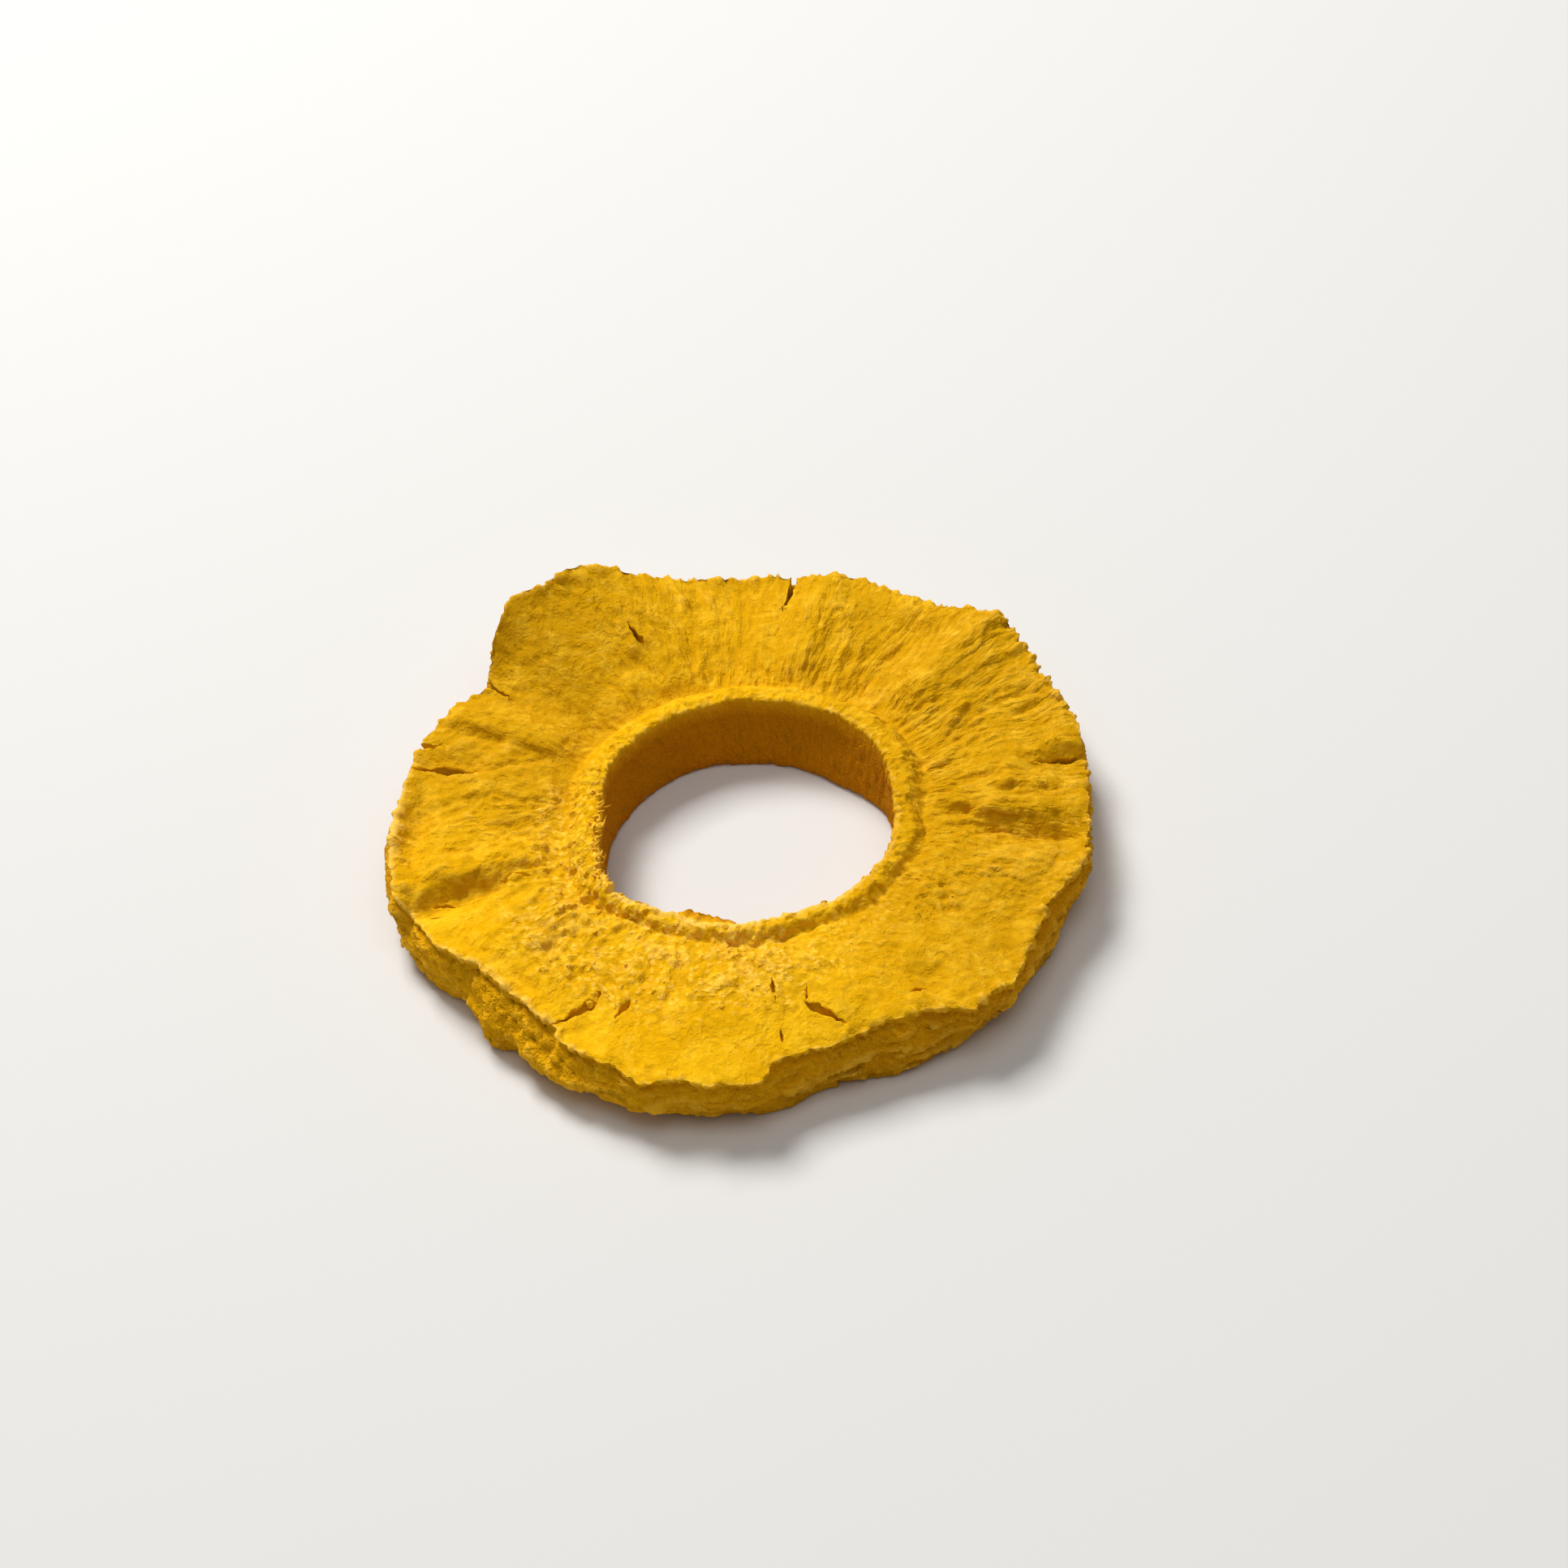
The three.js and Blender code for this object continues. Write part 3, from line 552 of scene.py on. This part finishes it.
def slit_mesh(middle, reach, length, width, depth, turn, widest, side):
    """A slit's cutter: a torn wedge that stands over the face and narrows downwards."""
    start, edges = np.array([middle]), edges_at(np.array([middle]))
    surface = float(face_height(start, np.minimum(reach, edges["rim_top"]), edges)[0])
    t = np.arange(SLIT_SIDES) / SLIT_SIDES
    along = np.cos(2 * math.pi * t)
    across = np.minimum((1 + along) / (1 + widest), (1 - along) / (1 - widest))
    across *= np.sign(np.sin(2 * math.pi * t))
    heading = math.radians(middle + turn)
    middle_x, middle_y, _ = place(middle, reach, surface)
    points = []
    # The widths are shares of the wedge's own, over the face, at it, halfway down and at the bottom.
    for height, share in ((1.5, 1.15), (0, 1), (-0.5 * depth, 0.6), (-depth, 0.2)):
        wander = 0.30 * noise(along * length / 1.6, across + height / 2, 0 * t + middle)
        wander += 0.20 * noise(along * length / 0.7, across + height, 0 * t + middle + 5)
        x = along * length / 2 * (0.4 + 0.6 * share)
        y = (across * width / 2 + min(1, width) * wander * (1 - along**8)) * share
        y += side * width / 2 * (1 - share) * (1 - along * along)
        points += list(zip(middle_x + x * math.cos(heading) - y * math.sin(heading),
                           middle_y + x * math.sin(heading) + y * math.cos(heading),
                           0 * t + surface + height))
    sides = [[ring * SLIT_SIDES + k for k in (i, (i + 1) % SLIT_SIDES)] for ring in range(4)
             for i in range(SLIT_SIDES)]
    faces = [(*sides[k + SLIT_SIDES], *reversed(sides[k])) for k in range(3 * SLIT_SIDES)]
    faces += [tuple(range(SLIT_SIDES)), tuple(reversed(range(3 * SLIT_SIDES, 4 * SLIT_SIDES)))]
    mesh = bpy.data.meshes.new("slit")
    mesh.from_pydata([tuple((np.array(point) + CENTRE) * MM) for point in points], [], faces)
    # A slit's sides are darkened as painted shade, the more the deeper it is torn.
    store(mesh, "depth", np.full(len(points), 0.25 * depth))
    store(mesh, "relief", np.full(len(points), -0.2 * depth))
    return mesh


def cut_slits(obj):
    """Cuts the torn slits out of an object."""
    for slit in SLITS + CRACKS:
        cutter = show("slit", slit_mesh(*slit))
        modifier = obj.modifiers.new("slit", "BOOLEAN")
        modifier.operation = "DIFFERENCE"
        modifier.solver = "MANIFOLD"
        modifier.object = cutter
        apply_modifiers(obj)
        bpy.data.objects.remove(cutter)


def apply_modifiers(obj):
    """Leaves the object with the plain mesh that its modifiers make."""
    depsgraph = bpy.context.evaluated_depsgraph_get()
    made = bpy.data.meshes.new_from_object(obj.evaluated_get(depsgraph), depsgraph=depsgraph,
                                           preserve_all_data_layers=True)
    obj.modifiers.clear()
    obj.data = made
    made.name = obj.name


# ---- Nodes ----

MATH, VECTOR = "ShaderNodeMath", "ShaderNodeVectorMath"


def add(tree, kind, links=None, out=0, **settings):
    """Adds a node with its settings, links or sets its inputs, and returns one of its outputs."""
    made = tree.nodes.new(kind)
    for name, value in settings.items():
        setattr(made, name, value)
    for socket, value in (links or {}).items():
        if isinstance(value, bpy.types.NodeSocket):
            tree.links.new(value, made.inputs[socket])
        else:
            made.inputs[socket].default_value = value
    return made.outputs[out] if len(made.outputs) else None


def new_tree(name, sizes):
    """A Geometry Nodes tree with a geometry, a material and named sizes as its inputs."""
    tree = bpy.data.node_groups.new(name, "GeometryNodeTree")
    tree.interface.new_socket("Geometry", in_out="INPUT", socket_type="NodeSocketGeometry")
    tree.interface.new_socket("Geometry", in_out="OUTPUT", socket_type="NodeSocketGeometry")
    tree.interface.new_socket("Material", in_out="INPUT", socket_type="NodeSocketMaterial")
    for label, value in sizes.items():
        tree.interface.new_socket(label, in_out="INPUT", socket_type="NodeSocketFloat").default_value = value
    return tree, tree.nodes.new("NodeGroupInput").outputs


def end_tree(tree, inputs, made):
    # Nothing goes below the table.
    above = add(tree, VECTOR, {0: add(tree, "GeometryNodeInputPosition"), 1: (-1, -1, 0)},
                operation="MAXIMUM")
    made = add(tree, "GeometryNodeSetPosition", {"Geometry": made, "Position": above})
    for kind in ("GeometryNodeSetShadeSmooth", "GeometryNodeRealizeInstances"):
        made = add(tree, kind, {"Geometry": made})
    made = add(tree, "GeometryNodeSetMaterial", {"Geometry": made, "Material": inputs["Material"]})
    add(tree, "NodeGroupOutput", {"Geometry": made})
    return tree


def run_tree(obj, tree, material):
    """Runs a tree on an object, and leaves the object with the plain mesh that the tree makes."""
    modifier = obj.modifiers.new(tree.name, "NODES")
    modifier.node_group = tree
    for item in tree.interface.items_tree:
        if item.in_out == "INPUT" and item.name == "Material":
            modifier[item.identifier] = material
    apply_modifiers(obj)


def ring_space(tree, position):
    """The place of a point in the ring, in millimetres, with a slow drift so that nothing runs quite
    straight: the point, its heading from the middle, its radius and its height."""
    point = add(tree, VECTOR, {0: position, "Scale": 1 / MM}, operation="SCALE")
    point = add(tree, VECTOR, {0: point, 1: tuple(CENTRE)}, operation="SUBTRACT")
    drift = add(tree, "ShaderNodeTexNoise", {"Vector": point, "Scale": 1 / DRIFT_SIZE, "Detail": 0.0},
                "Color")
    drift = add(tree, VECTOR, {0: drift, 1: (0.5,) * 3}, operation="SUBTRACT")
    point = add(tree, VECTOR, {0: drift, 1: (2 * DRIFT_REACH,) * 3, 2: point}, operation="MULTIPLY_ADD")
    flat = add(tree, VECTOR, {0: point, 1: (1, 1, 0)}, operation="MULTIPLY")
    heading = add(tree, VECTOR, {0: flat}, operation="NORMALIZE")
    radius = add(tree, VECTOR, {0: flat}, "Value", operation="LENGTH")
    return point, heading, radius, add(tree, "ShaderNodeSeparateXYZ", {0: point}, "Z")


def run(tree, place_in_ring, way, long):
    """Coordinates in millimetres in which whatever runs that way is drawn out to be that much longer."""
    point, heading, radius, height = place_in_ring
    if way == "plain":
        return point
    # The radius that angles are measured at, and what a millimetre outwards and upwards counts for.
    at_radius, outwards, upwards = {"radial": (30, 1 / long, 0), "round": (40 / long, 0, 1),
                                    "upright": (18, 0, 1 / long)}[way]
    other = add(tree, MATH, {0: radius, 1: outwards}, operation="MULTIPLY")
    other = add(tree, MATH, {0: height, 1: upwards, 2: other}, operation="MULTIPLY_ADD")
    other = add(tree, "ShaderNodeCombineXYZ", {"Z": other})
    return add(tree, VECTOR, {0: heading, 1: (at_radius,) * 3, 2: other}, operation="MULTIPLY_ADD")


# Shapes with a round spot in some of their cells: the draws from which a cell has one and has it at its
# full height, how far from the cell's middle the spot ends and is full, and the height that it ends at.
SCATTERED = {"mounds": (-0.3, 0.5, 0.65, 0.1, 0.0), "pebbles": (-0.2, 0.6, 0.62, 0.1, -0.4),
             "pits": (0.3, 0.62, 0.42, 0.12, 0.0), "specks": (0.5, 0.7, 0.4, 0.1, 0.0)}
# How the cells' outlines wander: how often within a cell, and how far as a share of it.
STIR = {"often": 1.4, "far": 0.8}
SHELF_WAVER = 3.0  # how many layers a shelf's height wavers over


def shape(tree, kind, where, detail):
    """A height at each point. Waves go from about -1 to 1. Crests are sharp ridges, billows are round
    lumps with sharp creases between them, mounds and pebbles are swellings of uneven height, pits are
    scattered holes, specks are scattered crumbs, and shelves are layers that each stand out further
    down to a sharp lower edge."""
    if kind in SCATTERED:
        stir = add(tree, "ShaderNodeTexNoise", {"Vector": where, "Scale": STIR["often"], "Detail": 1.0},
                   "Color")
        where = add(tree, VECTOR, {0: stir, 1: (STIR["far"],) * 3, 2: where}, operation="MULTIPLY_ADD")
        cell = add(tree, "ShaderNodeTexVoronoi", {"Vector": where, "Scale": 1.0, "Detail": detail},
                   "Distance")
        low, high, edge, middle, foot = SCATTERED[kind]
        chosen = add(tree, "ShaderNodeMapRange", {0: cell.node.outputs["Color"], 1: low, 2: high})
        dome = add(tree, "ShaderNodeMapRange", {0: cell, 1: edge, 2: middle, 3: foot},
                   interpolation_type="SMOOTHSTEP")
        return add(tree, MATH, {0: chosen, 1: dome}, operation="MULTIPLY")
    value = add(tree, "ShaderNodeTexNoise", {"Vector": where, "Scale": 1.0, "Detail": detail,
                                             "Roughness": 0.55})
    # The noise lies mostly between 0.28 and 0.72.
    if kind == "waves":
        return add(tree, "ShaderNodeMapRange", {0: value, 1: 0.28, 2: 0.72, 3: -1.0, 4: 1.0})
    if kind == "shelves":
        layer = add(tree, "ShaderNodeSeparateXYZ", {0: where}, "Z")
        layer = add(tree, MATH, {0: value, 1: SHELF_WAVER, 2: layer}, operation="MULTIPLY_ADD")
        layer = add(tree, MATH, {0: layer}, operation="FRACT")
        return add(tree, "ShaderNodeMapRange", {0: layer, 3: 1.0, 4: -0.3})
    folded = add(tree, MATH, {0: value, 1: 0.5}, operation="PINGPONG")
    if kind == "crests":
        return add(tree, "ShaderNodeMapRange", {0: folded, 1: 0.36, 2: 0.5, 3: -0.2, 4: 1.0})
    return add(tree, "ShaderNodeMapRange", {0: folded, 1: 0.5, 2: 0.32, 3: -0.6, 4: 1.0})


# ---- The relief ----

# Each kind of relief: which way it runs, its size across in millimetres, how many times longer it is
# along its run, its shape, its detail, and its height in millimetres.
RELIEF = {
    "swell": ("plain", 4.5, 1, "waves", 2, 0.18),
    "lumps": ("radial", 1.7, 1.7, "billows", 3, 0.30),
    "crumple": ("plain", 1.4, 1, "crests", 3, 0.18),
    "flakes": ("plain", 0.8, 1, "waves", 2, 0.12),
    "ridges": ("radial", 1.4, 5.5, "crests", 2, 0.27),
    "mounds": ("plain", 2.9, 1, "mounds", 0, 0.42),
    "pebbles": ("plain", 1.35, 1, "pebbles", 0, 0.30),
    "teeth": ("radial", 0.8, 7, "waves", 3, 0.26),
    "pores": ("plain", 0.85, 1, "pits", 0, -0.4),
    "caves": ("plain", 2.6, 1, "pits", 1, -0.8),
    "layers": ("round", 2.2, 5, "shelves", 2, 0.5),
    "crags": ("plain", 2.2, 1, "billows", 3, 0.36),
    "chips": ("plain", 1.3, 1, "billows", 3, 0.32),
    "scores": ("upright", 0.8, 6, "waves", 2, 0.07),
}
# The slow drift of all that has a run: its size, and how far it goes, in millimetres.
DRIFT_SIZE = 6.0
DRIFT_REACH = 1.0


def relief_tree():
    """Raises every kind of relief along the skin's normal, each where its attribute says."""
    sizes = {name + " size": row[1] for name, row in RELIEF.items()}
    heights = {name + " height": row[5] for name, row in RELIEF.items()}
    tree, inputs = new_tree("ring_relief", sizes | heights)
    at = ring_space(tree, add(tree, "GeometryNodeInputPosition"))
    total = 0.0
    for name, (way, _, long, kind, detail, _) in RELIEF.items():
        fine = add(tree, MATH, {0: 1.0, 1: inputs[name + " size"]}, operation="DIVIDE")
        where = add(tree, VECTOR, {0: run(tree, at, way, long), "Scale": fine}, operation="SCALE")
        strength = add(tree, "GeometryNodeInputNamedAttribute", {"Name": name})
        most = add(tree, MATH, {0: strength, 1: inputs[name + " height"]}, operation="MULTIPLY")
        total = add(tree, MATH, {0: shape(tree, kind, where, detail), 1: most, 2: total},
                    operation="MULTIPLY_ADD")
    offset = add(tree, MATH, {0: total, 1: MM}, operation="MULTIPLY")
    offset = add(tree, VECTOR, {0: add(tree, "GeometryNodeInputNormal"), "Scale": offset}, operation="SCALE")
    # The relief's height is kept for the material, which paints shade into its low parts and highlight onto
    # its high ones.
    made = add(tree, "GeometryNodeStoreNamedAttribute", {"Geometry": inputs["Geometry"], "Name": "relief",
                                                         "Value": total})
    made = add(tree, "GeometryNodeSetPosition", {"Geometry": made, "Offset": offset})
    return end_tree(tree, inputs, made)


def sow(tree, inputs, mask):
    """Scatters points over the skin where its attribute says. The points' normals go with them."""
    density = add(tree, "GeometryNodeInputNamedAttribute", {"Name": mask})
    return add(tree, "GeometryNodeDistributePointsOnFaces",
               {"Mesh": inputs["Geometry"], "Distance Min": inputs["spacing"], "Seed": 7,
                "Density Max": inputs["crowding"], "Density Factor": density}, distribute_method="POISSON")


def grains_tree():
    """Grains of flesh, each its own flattish lump, that stand half out of the skin where it is grainy.
    How far each is sunk, and how flat it is, are shares of its size."""
    tree, inputs = new_tree("ring_grains", {"spacing": 0.50 * MM, "crowding": 3e6, "smallest": 0.22 * MM,
                                            "largest": 0.50 * MM, "unevenness": 0.40 * MM})
    points = sow(tree, inputs, "grains")
    normal, turn = points.node.outputs["Normal"], points.node.outputs["Rotation"]
    size = add(tree, "FunctionNodeRandomValue", {2: inputs["smallest"], 3: inputs["largest"], "Seed": 1}, 1)
    sunk = add(tree, MATH, {0: size, 1: -0.35}, operation="MULTIPLY")
    sunk = add(tree, VECTOR, {0: normal, "Scale": sunk}, operation="SCALE")
    points = add(tree, "GeometryNodeSetPosition", {"Geometry": points, "Offset": sunk})
    lump = add(tree, "GeometryNodeMeshIcoSphere", {"Radius": 1.0, "Subdivisions": 2})
    flat = add(tree, VECTOR, {0: (1, 1, 0.45), "Scale": size}, operation="SCALE")
    made = add(tree, "GeometryNodeInstanceOnPoints",
               {"Points": points, "Instance": lump, "Rotation": turn, "Scale": flat})
    made = add(tree, "GeometryNodeRealizeInstances", {"Geometry": made})
    wobble = add(tree, "ShaderNodeTexNoise", {"Vector": add(tree, "GeometryNodeInputPosition"),
                                              "Scale": 1 / (0.5 * MM), "Detail": 1.0}, "Color")
    wobble = add(tree, VECTOR, {0: wobble, 1: (0.5,) * 3}, operation="SUBTRACT")
    wobble = add(tree, VECTOR, {0: wobble, "Scale": inputs["unevenness"]}, operation="SCALE")
    made = add(tree, "GeometryNodeSetPosition", {"Geometry": made, "Offset": wobble})
    # The grains are paler, partly their own colour and partly painted highlight on their tops.
    for name, value in (("relief", 0.3), ("pale", 0.4)):
        made = add(tree, "GeometryNodeStoreNamedAttribute", {"Geometry": made, "Name": name, "Value": value})
    return end_tree(tree, inputs, made)


def fibres_tree():
    """Torn fibres: short curved spikes that lean in over the hole, each with a stray heading and its own
    share of the thickness."""
    tree, inputs = new_tree("ring_fibres", {"spacing": 0.60 * MM, "crowding": 5e6, "thickness": 0.21 * MM,
                                            "shortest": 0.30 * MM, "longest": 0.85 * MM, "curl": 2.5})
    points = sow(tree, inputs, "torn")
    flat = add(tree, VECTOR, {0: add(tree, "GeometryNodeInputPosition"), 1: (1, 1, 0)}, operation="MULTIPLY")
    outwards = add(tree, VECTOR, {0: flat}, operation="NORMALIZE")
    lean = add(tree, "GeometryNodeInputNamedAttribute", {"Name": "lean"})
    outwards = add(tree, VECTOR, {0: outwards, "Scale": lean}, operation="SCALE")
    normal, turn = points.node.outputs["Normal"], points.node.outputs["Rotation"]
    heading = add(tree, VECTOR, {0: normal, 1: outwards}, operation="ADD")
    stray = add(tree, "FunctionNodeRandomValue", {0: (-0.8, -0.8, -0.5), 1: (0.8, 0.8, 0.5), "Seed": 2}, 0,
                data_type="FLOAT_VECTOR")
    heading = add(tree, VECTOR, {0: heading, 1: stray}, operation="ADD")
    turn = add(tree, "FunctionNodeAlignRotationToVector", {"Rotation": turn, "Vector": heading}, axis="Z")
    share = add(tree, "FunctionNodeRandomValue", {2: 0.6, 3: 1.4, "Seed": 4}, 1)
    thick = add(tree, MATH, {0: inputs["thickness"], 1: share}, operation="MULTIPLY")
    length = add(tree, "FunctionNodeRandomValue", {2: inputs["shortest"], 3: inputs["longest"], "Seed": 5}, 1)
    spike = add(tree, "GeometryNodeMeshCone", {"Vertices": 6, "Side Segments": 3, "Radius Top": 0.30,
                                               "Radius Bottom": 1.0, "Depth": 1.0})
    # A spike curls over towards its tip. Its thickness is scaled far more than its length.
    height = add(tree, "ShaderNodeSeparateXYZ", {0: add(tree, "GeometryNodeInputPosition")}, "Z")
    curl = add(tree, MATH, {0: height, 1: height}, operation="MULTIPLY")
    curl = add(tree, MATH, {0: curl, 1: inputs["curl"]}, operation="MULTIPLY")
    spike = add(tree, "GeometryNodeSetPosition",
                {"Geometry": spike, "Offset": add(tree, "ShaderNodeCombineXYZ", {"X": curl})})
    scale = add(tree, "ShaderNodeCombineXYZ", {"X": thick, "Y": thick, "Z": length})
    made = add(tree, "GeometryNodeInstanceOnPoints",
               {"Points": points, "Instance": spike, "Rotation": turn, "Scale": scale})
    made = add(tree, "GeometryNodeRealizeInstances", {"Geometry": made})
    # The fibres are paler, as painted highlight.
    made = add(tree, "GeometryNodeStoreNamedAttribute", {"Geometry": made, "Name": "relief", "Value": 0.5})
    return end_tree(tree, inputs, made)


# ---- The material ----

def rgb(hex_colour):
    """An sRGB hex colour as linear RGBA."""
    parts = [int(hex_colour[i:i + 2], 16) / 255 for i in (1, 3, 5)]
    return tuple(p / 12.92 if p <= 0.04045 else ((p + 0.055) / 1.055) ** 2.4 for p in parts) + (1.0,)


def new_material(name, **sockets):
    """A material on one Principled shader. sockets are the shader's inputs that are the same all over."""
    material = bpy.data.materials.new(name)
    material.use_nodes = True
    shader = material.node_tree.nodes["Principled BSDF"]
    for socket, value in sockets.items():
        shader.inputs[socket.replace("_", " ")].default_value = value
    return material, material.node_tree, shader


def dried_flesh():
    """Freeze-dried pineapple flesh: a dry, open foam of thin cell walls, fully matt. Its colour is deep,
    so that light that bounces inside its hollows turns orange. Proud grains and edges are paler, partly
    their own colour and partly painted highlight, and the walls, the hole, the slits and the hollows of
    the fine relief are darkened and browned as painted shade."""
    material, tree, shader = new_material("freeze_dried_pineapple_flesh", Roughness=0.95, IOR=1.4,
                                          Specular_IOR_Level=0.08)
    at = ring_space(tree, add(tree, "ShaderNodeTexCoord", out="Object"))

    def fine(way, size, long, kind, detail, mask=None):
        """A pattern of the flesh, kept to where an attribute says if it has one."""
        where = add(tree, VECTOR, {0: run(tree, at, way, long), "Scale": 1 / size}, operation="SCALE")
        pattern = shape(tree, kind, where, detail)
        if mask is None:
            return pattern
        strength = add(tree, "ShaderNodeAttribute", out="Fac", attribute_name=mask)
        return add(tree, MATH, {0: pattern, 1: strength}, operation="MULTIPLY")

    def tint(amount, low, high, most, shade, onto):
        """Mixes in a shade as an amount, or the attribute that it names, goes from low to high."""
        if isinstance(amount, str):
            amount = add(tree, "ShaderNodeAttribute", out="Fac", attribute_name=amount)
        amount = add(tree, "ShaderNodeMapRange", {0: amount, 1: low, 2: high, 4: most})
        return add(tree, "ShaderNodeMix", {"Factor": amount, 6: onto, 7: rgb(shade)}, 2, data_type="RGBA")

    broad = fine("plain", 9, 1, "waves", 3)
    # Some patches are smoother than others.
    patchy = add(tree, "ShaderNodeMapRange", {0: fine("plain", 3.2, 1, "waves", 2), 1: -0.6, 2: 0.9, 3: 0.3})
    flaky = fine("plain", 0.9, 1, "waves", 2)
    flaky = add(tree, MATH, {0: flaky, 1: patchy}, operation="MULTIPLY")
    crumpled = fine("plain", 0.9, 1, "crests", 2)
    crumbs = fine("plain", 0.6, 1, "pebbles", 0)
    granules = fine("plain", 0.95, 1, "pebbles", 0, "pebbles")
    specks = fine("plain", 0.5, 1, "specks", 0)
    creases = fine("radial", 1.0, 4.5, "crests", 2, "ridges")
    strata = fine("round", 1.2, 6, "crests", 3, "layers")
    pricks = fine("plain", 0.75, 1, "pits", 1, "pores")
    mottle = fine("plain", 2.4, 1, "waves", 4)
    grit_and_shade = fine("plain", 0.8, 1, "billows", 3, "grit_and_shade")
    # What is pale, partly painted highlight, is broken up by the grain of the flesh.
    pale = add(tree, "ShaderNodeAttribute", out="Fac", attribute_name="pale")
    pale = add(tree, MATH, {0: flaky, 1: 0.5, 2: pale}, operation="MULTIPLY_ADD")
    colour = rgb("#F0B000")
    # What each shade follows, the values that it starts at and is full at, and its greatest share.
    # Broad and mottle are the flesh's own uneven tone. The other rows are painted light: the shade and depth
    # masks, the dark ends of the flaky, crumbs, granules, gritty, creases, pricks and strata patterns and low
    # relief paint shade into hollows, pits, creases, walls and the hole.
    # The pale ends of the flaky, granules and specks patterns, pale and high relief paint highlight on tops
    # and edges, partly the flesh's own paler colour.
    for amount, low, high, most, shade in (
            (broad, -0.5, 0.5, 1.0, "#F8BE10"), ("shade", 0.0, 1.0, 1.0, "#C99206"),
            (mottle, 0.0, 0.8, 0.4, "#FFCE30"), (mottle, 0.0, -0.8, 0.4, "#CC9600"),
            (flaky, 0.1, 0.9, 0.5, "#FFC830"), (flaky, -0.1, -0.9, 0.6, "#CC9000"),
            (crumbs, 0.3, 0.0, 0.3, "#D49A02"), (granules, 0.15, 0.8, 0.5, "#FFCE58"),
            (granules, 0.0, -0.35, 0.35, "#BE8C08"), (grit_and_shade, 0.0, -0.6, 0.35, "#A87400"),
            (creases, 0.6, 1.0, 0.6, "#BC8800"), (specks, 0.4, 1.0, 0.25, "#FFCC50"),
            (pale, 0.3, 1.2, 0.9, "#FFCC5C"), ("depth", 0, 1, 0.8, "#D89004"),
            ("depth", 1, 2, 0.8, "#BE7400"), (pricks, 0.2, 0.9, 0.6, "#A06A00"),
            (strata, 0.4, 1.0, 0.35, "#9C6400"), ("relief", 0.0, -0.5, 0.9, "#B48A08"),
            ("relief", -0.4, -1.1, 0.9, "#94681A"), ("relief", 0.2, 0.8, 0.7, "#FFC63C")):
        colour = tint(amount, low, high, most, shade, colour)
    tree.links.new(colour, shader.inputs["Base Color"])
    # The finest relief, in millimetres.
    finest = 0.0
    for pattern, most in ((flaky, 0.06), (crumpled, 0.03), (crumbs, 0.02), (granules, 0.06), (specks, 0.02),
                          (creases, -0.08), (pricks, -0.15), (strata, -0.12), (grit_and_shade, 0.10)):
        finest = add(tree, MATH, {0: pattern, 1: most, 2: finest}, operation="MULTIPLY_ADD")
    surface = add(tree, "ShaderNodeBump", {"Height": finest, "Distance": MM})
    tree.links.new(surface, shader.inputs["Normal"])
    return material


# ---- The pieces ----

flesh = dried_flesh()
names, angle, radius, height = ring_form(FINE_GRID)
skin = grid_mesh(NODE, (place(angle, radius, height) + CENTRE) * MM)
for kind, strength in relief_masks(names, angle, radius).items():
    store(skin, kind, strength * np.ones_like(radius))
ring = show("dried_pineapple_ring", skin)
run_tree(ring, relief_tree(), flesh)
grains = show("flesh_grains", ring.data.copy())
run_tree(grains, grains_tree(), flesh)
fibres = show("torn_fibres", ring.data.copy())
run_tree(fibres, fibres_tree(), flesh)
cut_slits(ring)
for piece in (ring, grains, fibres):
    piece.data.polygons.foreach_set("use_smooth", [True] * len(piece.data.polygons))
    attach(piece, "root")
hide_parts(NODE)

# ---- The stage, the light and the camera ----

HALF_TABLE = 3.0
ROOM_LIGHT = 0.20  # the strength of the even light from all round
table_mesh = bpy.data.meshes.new("table")
table_mesh.from_pydata([(x * HALF_TABLE, y * HALF_TABLE, 0) for x, y in ((-1, -1), (1, -1), (1, 1), (-1, 1))],
                       [], [(0, 1, 2, 3)])
table = show("table_top", table_mesh)
paper, *_ = new_material("matt_white_paper", Base_Color=rgb("#DCDAD6"), Roughness=0.9)
table_mesh.materials.append(paper)

world = bpy.data.worlds.new("studio")
bpy.context.scene.world = world
world.use_nodes = True
for socket, value in (("Color", (1, 1, 1, 1)), ("Strength", ROOM_LIGHT)):
    world.node_tree.nodes["Background"].inputs[socket].default_value = value


def soft_light(name, place_at, size, power):
    """A square light that faces the ring."""
    lamp = bpy.data.lights.new(name, "AREA")
    lamp.size = size
    lamp.energy = power
    holder = show(name, lamp)
    holder.location = place_at
    holder.rotation_euler = (-Vector(place_at)).to_track_quat("-Z", "Y").to_euler()


soft_light("rear_softbox", (-0.32, 0.68, 0.92), 0.48, 15.5)
soft_light("overhead_softbox", (0.05, -0.12, 0.55), 0.40, 0.7)

# The camera looks down on the ring from the front, a little turned. Distances are in millimetres.
ELEVATION = 44.54
ROLL = 6.70
LENS = 74.53
SENSOR = 36.0
CAMERA_PLACE = Vector((4.95, -264.44, 271.76))

elevation, roll = math.radians(ELEVATION), math.radians(ROLL)
level = Vector((1, 0, 0))
upright = Vector((0, math.sin(elevation), math.cos(elevation)))
backwards = Vector((0, -math.cos(elevation), math.sin(elevation)))
across = math.cos(roll) * level - math.sin(roll) * upright
upwards = math.sin(roll) * level + math.cos(roll) * upright
camera_data = bpy.data.cameras.new("camera")
camera_data.lens = LENS
camera_data.sensor_width = SENSOR
camera_data.clip_start, camera_data.clip_end = 0.01, 20
camera = show("camera", camera_data)
turned = Matrix((across, upwards, backwards)).transposed().to_4x4()
camera.matrix_world = Matrix.Translation((CAMERA_PLACE + Vector(CENTRE)) * MM) @ turned
bpy.context.scene.camera = camera
bpy.context.scene.view_settings.view_transform = "Standard"
